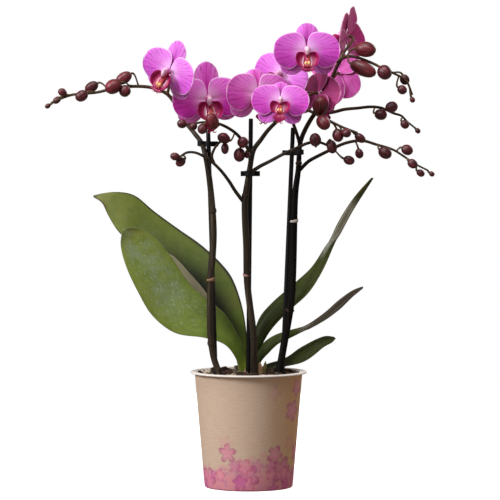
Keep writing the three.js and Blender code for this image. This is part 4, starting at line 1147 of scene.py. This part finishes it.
def addBall(name, at, size, finish, rings=12, tilt=0):
    bpy.ops.object.select_all(action="DESELECT")
    bpy.ops.mesh.primitive_uv_sphere_add(segments=2 * rings, ring_count=rings, radius=mm,
                                         location=Vector(at) * mm, rotation=(tilt, 0, 0))
    ball = bpy.context.object
    ball.name = name
    ball.scale = size
    applyPlace(ball)
    give(ball, finish)
    bpy.ops.object.shade_smooth()
    return ball


def onSide(way, path):
    # way is 1 as drawn and -1 mirrored
    return [(way * x, y, z) for x, y, z in path]


def lipParts(finishes):
    side, sideBack, front, column, cap, callus, stigma = finishes
    thick = lip["thickness"]
    low, high = lip["sideLow"], lip["sideHigh"]
    right = troughSurface(low, high, lip["sideBulge"])
    left = troughSurface(onSide(-1, high), onSide(-1, low), lip["sideBulge"])
    tongue = troughSurface(onSide(-1, lip["frontEdge"]), lip["frontEdge"], lip["frontBulge"])

    def frontSurface(u, v):
        point = tongue(u, v)
        point.z += 0.35 * math.exp(-(v / 0.2) ** 2) * (1 - u)
        return point
    parts = [addBlade("sideRight", right, (8, 10), thick, (sideBack, side), lambda u, v: ((v + 1) / 2, u)),
             addBlade("sideLeft", left, (8, 10), thick, (sideBack, side), lambda u, v: ((1 - v) / 2, u)),
             addBlade("tongue", frontSurface, (12, 14), thick, (sideBack, front)),
             addTube("columnStem", smoothPath(lip["column"], 14), lip["columnRadii"], column, 4),
             addTube("lipFoot", smoothPath(lip["foot"], 8), lip["footRadii"], front),
             addBall("antherCap", lip["cap"], lip["capSize"], cap),
             addBall("stigma", lip["stigma"], lip["stigmaSize"], stigma, 8)]
    for way in (-1, 1):
        at, = onSide(way, [lip["callus"]])
        parts.append(addBall("callusLobe", at, lip["callusSize"], callus, 10, lip["callusTilt"]))
        tendril = smoothPath(onSide(way, lip["tendril"]), 12)
        parts.append(addTube("tendril", tendril, lip["tendrilRadii"], front, 2))
    return parts


def addFlowers():
    skins = {tone: [petalFinish(kind + " " + tone, tone, kind) for kind in ("petal", "sepal", "back")]
             for tone in tones}
    column = columnFinish("column", paint(240, 190, 220), paint(206, 100, 164))
    cap = columnFinish("anther cap", paint(244, 212, 228), paint(220, 150, 186))
    sideBack = lobeFinish("side lobe back", paint(190, 54, 118), paint(160, 18, 88), paint(190, 40, 124))
    front = lobeFinish("tongue", paint(222, 108, 84), paint(154, 12, 78), paint(180, 30, 108))
    stigma = columnFinish("stigma", paint(150, 30, 84), paint(120, 14, 64))
    finishes = (sideLobeFinish(), sideBack, front, column, cap, callusFinish(), stigma)
    lipMaster = join("lipMaster", lipParts(finishes))
    for i, (name, flower) in enumerate(flowers.items()):
        chance = random.Random(flowerForm["seed"] + i)
        place = flowerPlace(flower)
        petalSkin, sepalSkin, back = skins[flower["tone"]]
        length, bend, spread = flower["sepals"]
        side = {**petal, "arch": flower.get("bend", petal["arch"])}
        low = {**sepal, "length": flower.get("low", sepal["length"])}
        spreadOut = flowerForm["petalAngle"]
        tepals = [(side, spreadOut, petalSkin), (side, -spreadOut, petalSkin),
                  ({**sepal, "length": length, "arch": bend}, 0, sepalSkin),
                  (low, spread, sepalSkin), (low, -spread, sepalSkin)]
        blades = []
        for form, angle, skin in tepals:
            nudge = chance.uniform(-flowerForm["nudge"], flowerForm["nudge"])
            blades.append(addPetal("petal", form, angle + nudge, (skin, back), chance))
        blades.append(addBall("flowerHub", flowerForm["hub"], flowerForm["hubSize"], column))
        whole = join(name + "_tepals", blades)
        whole.data.transform(place)
        dress(whole, "petal", name + "_petals")
        lipCopy = copyOf(lipMaster)
        lipCopy.name = name + "_labellum"
        tongueShare = flower.get("tongue", 1)

        def drawIn(point):
            beyond = min(point.y / mm - lip["drawnFrom"], 0)
            return Vector((point.x, point.y - beyond * (1 - tongueShare) * mm, point.z))
        setMesh(lipCopy, drawIn)
        lipCopy.data.transform(place)
        dress(lipCopy, "lip", name + "_lip")
    bpy.data.objects.remove(lipMaster)


addFlowers()
print("flowers ready")


# Flower spikes
# A run of stem: its middle line from the root up, evenly spaced radii, and its buds, each with its
# middle, its length and width, and the way it points. Nodes are heights and tones of papery rings.

spikes = {
    "spike_left": {
        "main": {
            "path": [(-20.5, -21, 76), (-23, -21, 90), (-27, -20.5, 103), (-29.2, -20.5, 118),
                     (-29.5, -20, 140), (-29, -20, 164), (-27.6, -20, 181), (-26.9, -19, 198),
                     (-28.2, -19, 222), (-31, -19, 246), (-33.4, -17.8, 258), (-36, -10, 266),
                     (-42, -2, 274), (-50, 3, 284), (-56, 5, 295), (-63, 4, 304), (-76, 0, 309),
                     (-99, -3, 309), (-117, -5, 305), (-136, -6, 303), (-152, -6, 297)],
            "radii": [2.6, 2.5, 2.6, 2.8, 2.7, 2.3, 1.8, 1.5, 1.3, 1.1, 0.8],
            "buds": [
                ((-104, -9, 309), (13, 11), (-0.85, -0.1, -0.45)),
                ((-96, -5, 316), (13, 9), (-0.8, -0.2, -0.5)),
                ((-95, -9, 306), (9, 9), (-0.3, -0.6, -0.7)),
                ((-128, -9, 303), (10, 8.5), (-0.8, -0.2, -0.5)),
                ((-121, -3, 308), (11, 8), (-0.8, 0.1, -0.5)),
                ((-143, -8, 305), (7, 6), (-0.7, -0.2, 0.4)),
                ((-147.5, -4, 299), (7, 5), (-0.8, 0, -0.6)),
                ((-153, -6, 296), (4.5, 3.8), (-0.8, 0, -0.5)),
            ],
        },
        "branches": [],
        "nodes": [(112, "dark"), (162, "tan"), (214, "dark")],
        "flowers": ["bloom_1", "bloom_2"],
    },
    "spike_middle": {
        "main": {
            "path": [(6, -5, 76), (4, -7, 95), (4.2, -8, 111), (3, -8, 126), (1, -8, 141),
                     (-1.1, -8, 160), (-1.7, -8, 188), (-2.6, -8, 205), (-2.8, -8, 222), (-0.8, -8, 236),
                     (1, -8, 247), (4, -7, 261), (9, -6, 268), (15, -5, 276), (22, -5, 283),
                     (29, -9, 289), (35, -17, 292.5), (40, -22, 293), (46, -25, 291), (56, -28, 286),
                     (70, -32, 279), (83, -33, 274)],
            "radii": [2.9, 2.7, 2.6, 2.6, 2.6, 2.5, 2.1, 1.6, 1.4, 1.2, 0.8],
            "buds": [
                ((52, -27, 291), (15, 12), (0.1, -0.5, 0.8)),
                ((58, -32, 283), (13, 10), (0.4, -0.6, -0.6)),
                ((68, -32, 272), (10, 8.5), (0.2, -0.3, -0.9)),
                ((75, -35, 275), (8, 7), (0.5, -0.8, -0.2)),
                ((84, -32, 272), (9, 6.5), (0.8, 0, -0.6)),
            ],
        },
        "branches": [
            {
                "path": [(-4, -8, 221), (-10, -12, 229), (-15, -16, 237), (-21, -21, 245),
                         (-27, -24, 251), (-34, -25, 256), (-41, -25, 259), (-47, -25, 259),
                         (-52, -24, 256)],
                "radii": [1.5, 1.3, 1.1, 0.9],
                "buds": [
                    ((-56, -26, 256), (7.5, 6), (-1, 0, 0.2)),
                    ((-52, -22, 252), (8, 6.5), (-0.7, 0, -0.5)),
                ],
            },
            {
                "path": [(-26, -23.5, 250), (-28, -25, 256), (-26, -25, 262), (-22, -25, 267)],
                "radii": [1.2, 1.1, 0.9],
                "buds": [
                    ((-18, -23, 262), (8.5, 6), (0, -0.2, -1)),
                ],
            },
            {
                "path": [(3, -8, 254), (0, -12, 261), (-4, -16, 267), (-9, -21, 273), (-16, -26, 278),
                         (-23, -30, 281), (-30, -33, 282), (-36, -34, 282), (-42, -34, 281),
                         (-46, -34, 281)],
                "radii": [1.5, 1.3, 1.1, 0.8],
                "buds": [
                    ((-48, -35, 281), (7.5, 7), (-0.8, -0.3, 0.1)),
                    ((-42, -38, 279), (6.5, 6), (-0.5, -0.6, -0.4)),
                    ((-35, -38, 277), (8, 7.5), (-0.3, -0.5, -0.7)),
                    ((-28, -38, 283), (13, 10), (-0.3, -0.5, 0.7)),
                    ((-19, -26, 270), (10, 8), (-0.7, -0.3, 0.3)),
                    ((-5, -21, 268), (8.5, 8.5), (0.5, -0.5, 0.1)),
                    ((-7, -17, 257), (10.5, 9), (-0.1, -0.3, -1)),
                    ((-1, -15, 257), (5, 5), (0.3, -0.2, -1)),
                ],
            },
            {
                "path": [(2, -8, 244), (10, -12, 249), (16, -14, 252), (27, -18, 258), (36, -19, 262),
                         (45, -19, 266), (53, -19, 267), (61, -19, 264), (66, -19, 260)],
                "radii": [1.5, 1.3, 1.2, 0.9],
                "buds": [
                    ((51, -22, 268), (10, 9), (-0.1, -0.2, 1)),
                    ((63, -21, 263), (10, 8), (0.2, -0.2, -1)),
                    ((77, -18, 253), (8.5, 7), (0.9, -0.2, -0.3)),
                ],
            },
        ],
        "nodes": [(116, "dark"), (165, "pink"), (226, "dark")],
        "flowers": ["bloom_3", "bloom_4", "bloom_7"],
    },
    "spike_right": {
        "main": {
            "path": [(24, -5, 76), (24, -5, 90), (26.5, -5, 106), (30, -5, 126), (32.6, -6, 143),
                     (33.7, -6, 160), (34.4, -6, 182), (34.9, -6, 205), (36.0, -6, 228), (38.3, -6, 246),
                     (39, -6, 259), (40, -4, 267), (43, 1, 275), (48, 8, 284), (55.5, 15.5, 295),
                     (62, 20.5, 309), (67, 15, 322), (72, 6, 331), (79, 0, 333), (94, -4, 328),
                     (104, -6, 323), (113, -6, 319), (121, -6, 314), (126, -6, 303)],
            "radii": [2.9, 2.9, 3.0, 3.0, 2.9, 2.5, 1.9, 1.7, 1.6, 1.3, 1, 0.8],
            "buds": [
                ((90, -5, 338), (16, 12), (0.95, -0.3, -0.1)),
                ((88, -11, 323), (21, 11.5), (0.9, -0.2, -0.4)),
                ((105, -10, 321), (11.5, 11), (0.5, -0.5, -0.6)),
                ((120, -4, 315), (8, 7.5), (0.4, 0, -0.9)),
                ((118, -9, 307), (7.5, 7), (0.7, -0.3, -0.4)),
                ((126, -6, 302), (4.5, 4.2), (0.4, 0, -0.9)),
            ],
        },
        "branches": [
            {
                "path": [(51.5, 12, 290), (57, 15, 289), (66, 15, 290), (74, 12, 292), (84, 9, 293),
                         (95, 6, 294), (103, 4, 293), (112, 3, 289), (118, 2, 287), (122, 2, 283),
                         (128, 1, 278)],
                "radii": [1.5, 1.3, 1.1, 0.7],
                "buds": [
                    ((110, 0, 293), (9.5, 8.5), (0.9, -0.2, 0.3)),
                    ((102, 0, 288), (9.5, 8.5), (0.9, -0.1, -0.2)),
                    ((122, 1, 282), (7, 6.5), (0.7, 0, -0.7)),
                    ((129, 1, 277), (4.5, 4), (0.7, 0, -0.7)),
                ],
            },
            {
                "path": [(39, -6, 245), (46, -8, 252), (53, -10, 256), (61, -11, 260), (74, -12, 266),
                         (87, -13, 268), (98, -14, 265), (111, -14, 261), (119, -14, 256),
                         (128, -14, 250), (138, -14, 245)],
                "radii": [1.5, 1.3, 1.2, 0.9, 0.7],
                "buds": [
                    ((85, -12, 258), (7.5, 6.5), (0.2, -0.2, -1)),
                    ((105, -16, 261), (10.5, 9), (0.8, -0.2, -0.5)),
                    ((118, -14, 257), (9, 8), (0.9, -0.2, -0.4)),
                    ((126, -15, 251), (8, 7), (0.8, -0.2, -0.6)),
                    ((134, -14, 246), (6.5, 5.5), (0.8, 0, -0.5)),
                    ((139, -14, 244), (4.5, 4), (0.8, 0, -0.5)),
                ],
            },
            {
                "path": [(40, -5, 263), (37.5, -6, 272), (34, -4, 282), (30, 4, 290), (27.5, 10, 297),
                         (27, 12, 304)],
                "radii": [1.4, 1.2, 1],
                "buds": [],
            },
        ],
        "nodes": [(138, "dark"), (206, "white"), (250, "dark")],
        "flowers": ["bloom_5", "bloom_6", "bloom_8", "bloom_9"],
    },
}
nodeTones = {
    "tan": (paint(112, 84, 66), paint(170, 132, 100)),
    "pink": (paint(150, 100, 100), paint(196, 150, 146)),
    "white": (paint(150, 138, 128), paint(222, 214, 204)),
    "dark": (paint(30, 20, 20), paint(74, 56, 48)),
}
stemSteps = 200
budForm = {
    "rings": 14, "profile": [0.2, 0.37, 0.45, 0.49, 0.5, 0.48, 0.44, 0.35, 0.12], "seam": 0.05,
    "large": 12,  # buds as long as this have the redder finish
    "clearOfStem": 1.6, "stalkRadii": [0.8, 0.65, 0.75, 1.0],
}
flowerStalk = {"radii": [1.3, 1.05, 0.95, 1.3], "behindFlower": 2.0, "drop": 6.6}
stalkBend = {"leaves": 0.35, "rises": 0.12, "arrives": 0.35}  # shares of a stalk's reach
nodeForm = {"thickness": 0.35, "steps": (16, 6), "below": -1.0, "height": 1.7, "point": 2.0,
            "halfTurn": (3.1, 2.2), "play": 0.1, "swell": 0.25}


def stemFinish(name, gloss, dark, mid, pale, moss):
    finish = Finish(name, {"Specular IOR Level": gloss})
    place = finish.place()
    streaks = finish.noise(finish.stretched(place, (420, 420, 26)), 1.0, 4.0, 0.6)
    mottle = finish.noise(place, 60.0, 4.0)
    x, z = finish.parts(place, "XZ")
    colour = finish.ramp(streaks, [(0.3, dark), (0.55, mid), (0.78, pale)])
    colour = finish.mix(finish.step(mottle, 0.45, 0.7) * 0.4, colour, moss)
    outer = finish.step((x / mm).calc("ABSOLUTE"), 38, 70)
    young = finish.step(z / mm, 262, 300).calc("MAXIMUM", outer * 0.8)  # the ends of the stems are browner
    colour = finish.mix(young * 0.8, colour, finish.mix(streaks, paint(50, 34, 28), paint(104, 78, 58)))
    return finish.wire(colour, 0.4 + 0.2 * mottle, finish.bump(streaks, 0.15, 0.5))


def stalkFinish():
    finish = Finish("flower stalk", {"Specular IOR Level": 0.4})
    place = finish.place()
    soft = finish.noise(place, 90.0, 3.0)
    colour = finish.mix(soft, paint(74, 54, 38), paint(116, 92, 60))
    return finish.wire(colour, 0.45 + 0.2 * soft, finish.bump(soft, 0.1, 0.4))


def budFinish(name, dark, body, pale, foot):
    finish = Finish(name, {"Specular IOR Level": 0.5, "Coat Weight": 0.15, "Coat Roughness": 0.25,
                           "Subsurface Weight": 0.04, "Subsurface Scale": 0.001})
    x, y = finish.parts(finish.uv(), "XY")
    place = finish.place()
    streaks = finish.noise(finish.vector(x * 26, y * 2.4), 1.0, 4.0, 0.6)
    patch = finish.noise(place, 110.0, 3.0)
    colour = finish.ramp(streaks, [(0.3, dark), (0.5, body), (0.78, pale)])
    colour = finish.mix(finish.step(patch, 0.4, 0.65) * 0.5, colour, dark)
    colour = finish.mix((1 - finish.step(y, 0.1, 0.42)) * 0.75, colour, foot)
    seams = finish.step((x * (3 * math.pi)).wave(), 0.14, 0.0)
    colour = finish.mix(seams * 0.5, colour, pale)
    relief = streaks * 0.4 + seams * 0.6
    return finish.wire(colour, 0.36 + 0.2 * patch, finish.bump(relief, 0.2, 0.5))


def budMaster(finish):
    # a ball drawn into a bud: rounded foot, full middle, three raised seams and a blunt tip
    bud = addBall("budMaster", (0, 0, 0), (1, 1, 1), finish, budForm["rings"])

    def shape(point):
        along = min(max(point.z / mm / 2 + 0.5, 0), 1)
        angle = math.atan2(point.y, point.x)
        seam = 1 + budForm["seam"] * (1 - abs(math.sin(1.5 * angle))) ** 4 * math.sin(math.pi * along)
        radius = atShare(budForm["profile"], along) * seam if 0 < along < 1 else 0
        return Vector((radius * math.cos(angle), radius * math.sin(angle), along))
    setMesh(bud, shape)
    return bud


def nearestShare(line, point):
    distances = [(spot - point).length for spot in line]
    return distances.index(min(distances)) / (len(line) - 1)


def rootOn(line, point, back=0.02):
    # the nearest place on a line, then a little back towards its start
    share = max(nearestShare(line, point) - back, 0)
    return line[round(share * (len(line) - 1))]


def stalkLine(start, end, direction, count):
    reach = (end - start).length
    leave = start.lerp(end, stalkBend["leaves"]) + Vector((0, 0, reach * stalkBend["rises"]))
    arrive = end - direction * (stalkBend["arrives"] * reach)
    return interpolate_bezier(start, leave, arrive, end, count)


def addBud(line, bud, master, finishes, stalk, chance):
    at, (length, width), aim = bud
    direction = Vector(aim).normalized()
    middle = Vector(at)
    nearest = rootOn(line, middle, 0)
    room = width / 2 + budForm["clearOfStem"]
    if (middle - nearest).length < room:
        middle = nearest + (middle - nearest).normalized() * room
    base = middle - direction * (0.5 * length)
    stalkPoints = stalkLine(rootOn(line, base), base, direction, 12)
    body = copyOf(master)
    give(body, finishes[0] if length < budForm["large"] else finishes[1])
    spin = Matrix.Rotation(chance.uniform(0, wholeTurn), 4, "Z")
    stand = direction.to_track_quat("Z", "Y").to_matrix().to_4x4()
    size = Matrix.Diagonal((width * mm, width * mm, length * mm, 1))
    body.data.transform(Matrix.Translation(base * mm) @ stand @ spin @ size)
    return [addTube("budStalk", stalkPoints, budForm["stalkRadii"], stalk, 2), body]


def addStalk(lines, name, finish):
    flower = flowers[name]
    place = flowerPlace(flower)
    direction = (place.to_3x3() @ Vector((0, 0, 1))).normalized()
    end = Vector(flower["at"]) - direction * (flowerStalk["behindFlower"] * flower["size"])
    starts = [rootOn(line, end - direction * flowerStalk["drop"]) for line in lines]
    start = min(starts, key=lambda spot: (spot - end).length)
    return addTube("flowerStalk", stalkLine(start, end, direction, 24), flowerStalk["radii"], finish)


def addNode(line, height, radii, finish, chance):
    # a thin papery ring that hugs the stem at a node, with a small point on one side
    index = min(range(2, len(line) - 2), key=lambda i: abs(line[i].z - height))
    foot = line[index]
    radius = atShare(radii, index / (len(line) - 1))
    axis = (line[index + 1] - line[index - 1]).normalized()
    side = axis.cross(Vector((0, 1, 0))).normalized()
    other = axis.cross(side)
    turn = chance.uniform(0, wholeTurn)

    def surface(u, v):
        angle = turn + v * between(*nodeForm["halfTurn"], u)
        reach = radius + nodeForm["play"] + nodeForm["swell"] * math.sin(math.pi * u)
        height = nodeForm["below"] + u * (nodeForm["height"] + nodeForm["point"] * (1 - abs(v)) ** 2)
        return foot + axis * height + side * reach * math.cos(angle) + other * reach * math.sin(angle)
    return addBlade("nodeRing", surface, nodeForm["steps"], nodeForm["thickness"], (finish, finish))


def addSpikes():
    black = stemFinish("black stem", 0.1, paint(5, 4, 3), paint(13, 10, 8), paint(38, 30, 25),
                       paint(22, 19, 13))
    brown = stemFinish("brown stem", 0.2, paint(28, 21, 17), paint(54, 45, 35), paint(96, 84, 68),
                       paint(44, 40, 28))
    stalk = stalkFinish()
    buds = (budFinish("small bud", paint(40, 4, 11), paint(80, 12, 26), paint(150, 56, 70),
                      paint(62, 32, 24)),
            budFinish("large bud", paint(66, 5, 16), paint(108, 14, 32), paint(170, 68, 84),
                      paint(80, 46, 32)))
    rings = {tone: huskFinish(tone + " ring", *colours) for tone, colours in nodeTones.items()}
    master = budMaster(buds[0])
    for name, spike in spikes.items():
        chance = random.Random(name)
        stem = black if name == "spike_right" else brown
        runs = [spike["main"], *spike["branches"]]
        lines = [smoothPath(run["path"], stemSteps) for run in runs]
        parts = []
        for run, line in zip(runs, lines):
            points = line if run is spike["main"] else line[::3] + [line[-1]]
            parts.append(addTube("stemRun", points, run["radii"], stem))
            for bud in run["buds"]:
                parts += addBud(line, bud, master, buds, stalk, chance)
        for height, tone in spike["nodes"]:
            parts.append(addNode(lines[0], height, spike["main"]["radii"], rings[tone], chance))
        for flowerName in spike["flowers"]:
            parts.append(addStalk(lines, flowerName, stalk))
        dress(join(name + "_stems", parts), "spike", name)
    bpy.data.objects.remove(master)


addSpikes()
print("spikes ready")


# Sticks and clips

sticks = {
    "stick_left": ((-25.4, -14, 90), (-31, -14, 276)),
    "stick_middle": ((-0.3, -2, 90), (1.8, -2, 285)),
    "stick_right": ((26.3, 1, 90), (34.3, 1, 278)),
}
stickForm = {"radius": 1.7, "foot": 16, "tip": 0.5, "tipShare": 0.7}
clips = {
    "clip_left": ("stick_left", "spike_left", 265.5),
    "clip_middle": ("stick_middle", "spike_middle", 242.5),
    "clip_right": ("stick_right", "spike_right", 258.5),
}
clipForm = {
    "height": 4.0, "wall": 1.2, "chamfer": 0.3, "stickPlay": 0.1, "stemRadius": 2.0, "stemPlay": 0.3,
    "bridgeDepth": 2.4, "bridgeHeight": 0.8, "bridgeFrom": 0.3, "bridgeShort": 1.0, "leastBridge": 0.6,
    "wing": 15, "wingThick": 1.3, "bevel": 0.35,
    "ridges": 3, "ridgeFrom": 1, "ridgeStep": 1.3, "ridgeDepth": -0.7, "ridge": (0.7, 0.9, 3.6),
}


def blackFinish():
    finish = Finish("black plastic", {"Specular IOR Level": 0.25})
    place = finish.place()
    grain = finish.noise(place, 900.0, 3.0)
    worn = finish.noise(finish.stretched(place, (300, 300, 20)), 1.0, 3.0)
    colour = finish.mix(worn, paint(8, 7, 8), paint(26, 23, 25))
    return finish.wire(colour, 0.36 + 0.2 * grain, finish.bump(grain, 0.08, 0.4))


def addSticks(finish):
    for name, (bottom, top) in sticks.items():
        low, high = Vector(bottom), Vector(top)
        foot = low.lerp(high, (stickForm["foot"] - low.z) / (high.z - low.z))
        radius = stickForm["radius"]
        tip = high - (high - low).normalized() * stickForm["tip"]
        points = evenly([foot, high], 40)[:-1] + [tip, high]
        radii = [radius] * (len(points) - 1) + [radius * stickForm["tipShare"]]
        stick = addTube(name + "_rod", points, radii, finish, 4)
        dress(stick, "black_plastic", name)


def addBlock(name, size, at, turn, finish):
    bpy.ops.object.select_all(action="DESELECT")
    bpy.ops.mesh.primitive_cube_add(size=1, location=at * mm, rotation=(0, 0, turn))
    block = bpy.context.object
    block.name = name
    block.scale = Vector(size) * mm
    applyPlace(block)
    applyModifier(block, "BEVEL", width=clipForm["bevel"] * mm, segments=3)
    give(block, finish)
    smooth(block, 35)
    return block


def addClipRing(middle, inner, finish):
    outer, half, cut = inner + clipForm["wall"], clipForm["height"] / 2, clipForm["chamfer"]
    ring = addTurned("clipRing", [(inner, -half), (outer - cut, -half), (outer, -half + cut),
                                  (outer, half - cut), (outer - cut, half), (inner, half)], finish, 32)
    ring.data.transform(Matrix.Translation(middle * mm))
    smooth(ring, 35)
    return ring


def addClips(finish):
    height, wing = clipForm["height"], clipForm["wing"]
    stickRadius, stemRadius = stickForm["radius"], clipForm["stemRadius"]
    for name, (stickName, spikeName, level) in clips.items():
        bottom, top = (Vector(end) for end in sticks[stickName])
        onStick = bottom.lerp(top, (level - bottom.z) / (top.z - bottom.z))
        line = smoothPath(spikes[spikeName]["main"]["path"], stemSteps)
        onStem = min(line, key=lambda spot: abs(spot.z - level))
        parts = [addClipRing(onStick, stickRadius + clipForm["stickPlay"], finish),
                 addClipRing(onStem, stemRadius + clipForm["stemPlay"], finish)]
        reach = onStem - onStick
        gap = reach.length - stickRadius - stemRadius - clipForm["bridgeShort"]
        if gap > clipForm["leastBridge"]:
            middle = onStick + reach.normalized() * (stickRadius + clipForm["bridgeFrom"] + gap / 2)
            middle.z = level
            bridge = (gap, clipForm["bridgeDepth"], height * clipForm["bridgeHeight"])
            parts.append(addBlock("clipBridge", bridge, middle, math.atan2(reach.y, reach.x), finish))
        wingAt = onStick + Vector((0, stickRadius + clipForm["wall"], 0))
        parts.append(addBlock("clipWing", (wing, clipForm["wingThick"], height), wingAt, 0, finish))
        for way in (-1, 1):
            for k in range(clipForm["ridges"]):
                along = way * (wing / 2 - clipForm["ridgeFrom"] - clipForm["ridgeStep"] * k)
                ridgeAt = wingAt + Vector((along, clipForm["ridgeDepth"], 0))
                parts.append(addBlock("clipRidge", clipForm["ridge"], ridgeAt, 0, finish))
        dress(join(name + "_grip", parts), "black_plastic", name)


black = blackFinish()
addSticks(black)
addClips(black)
print("sticks and clips ready")
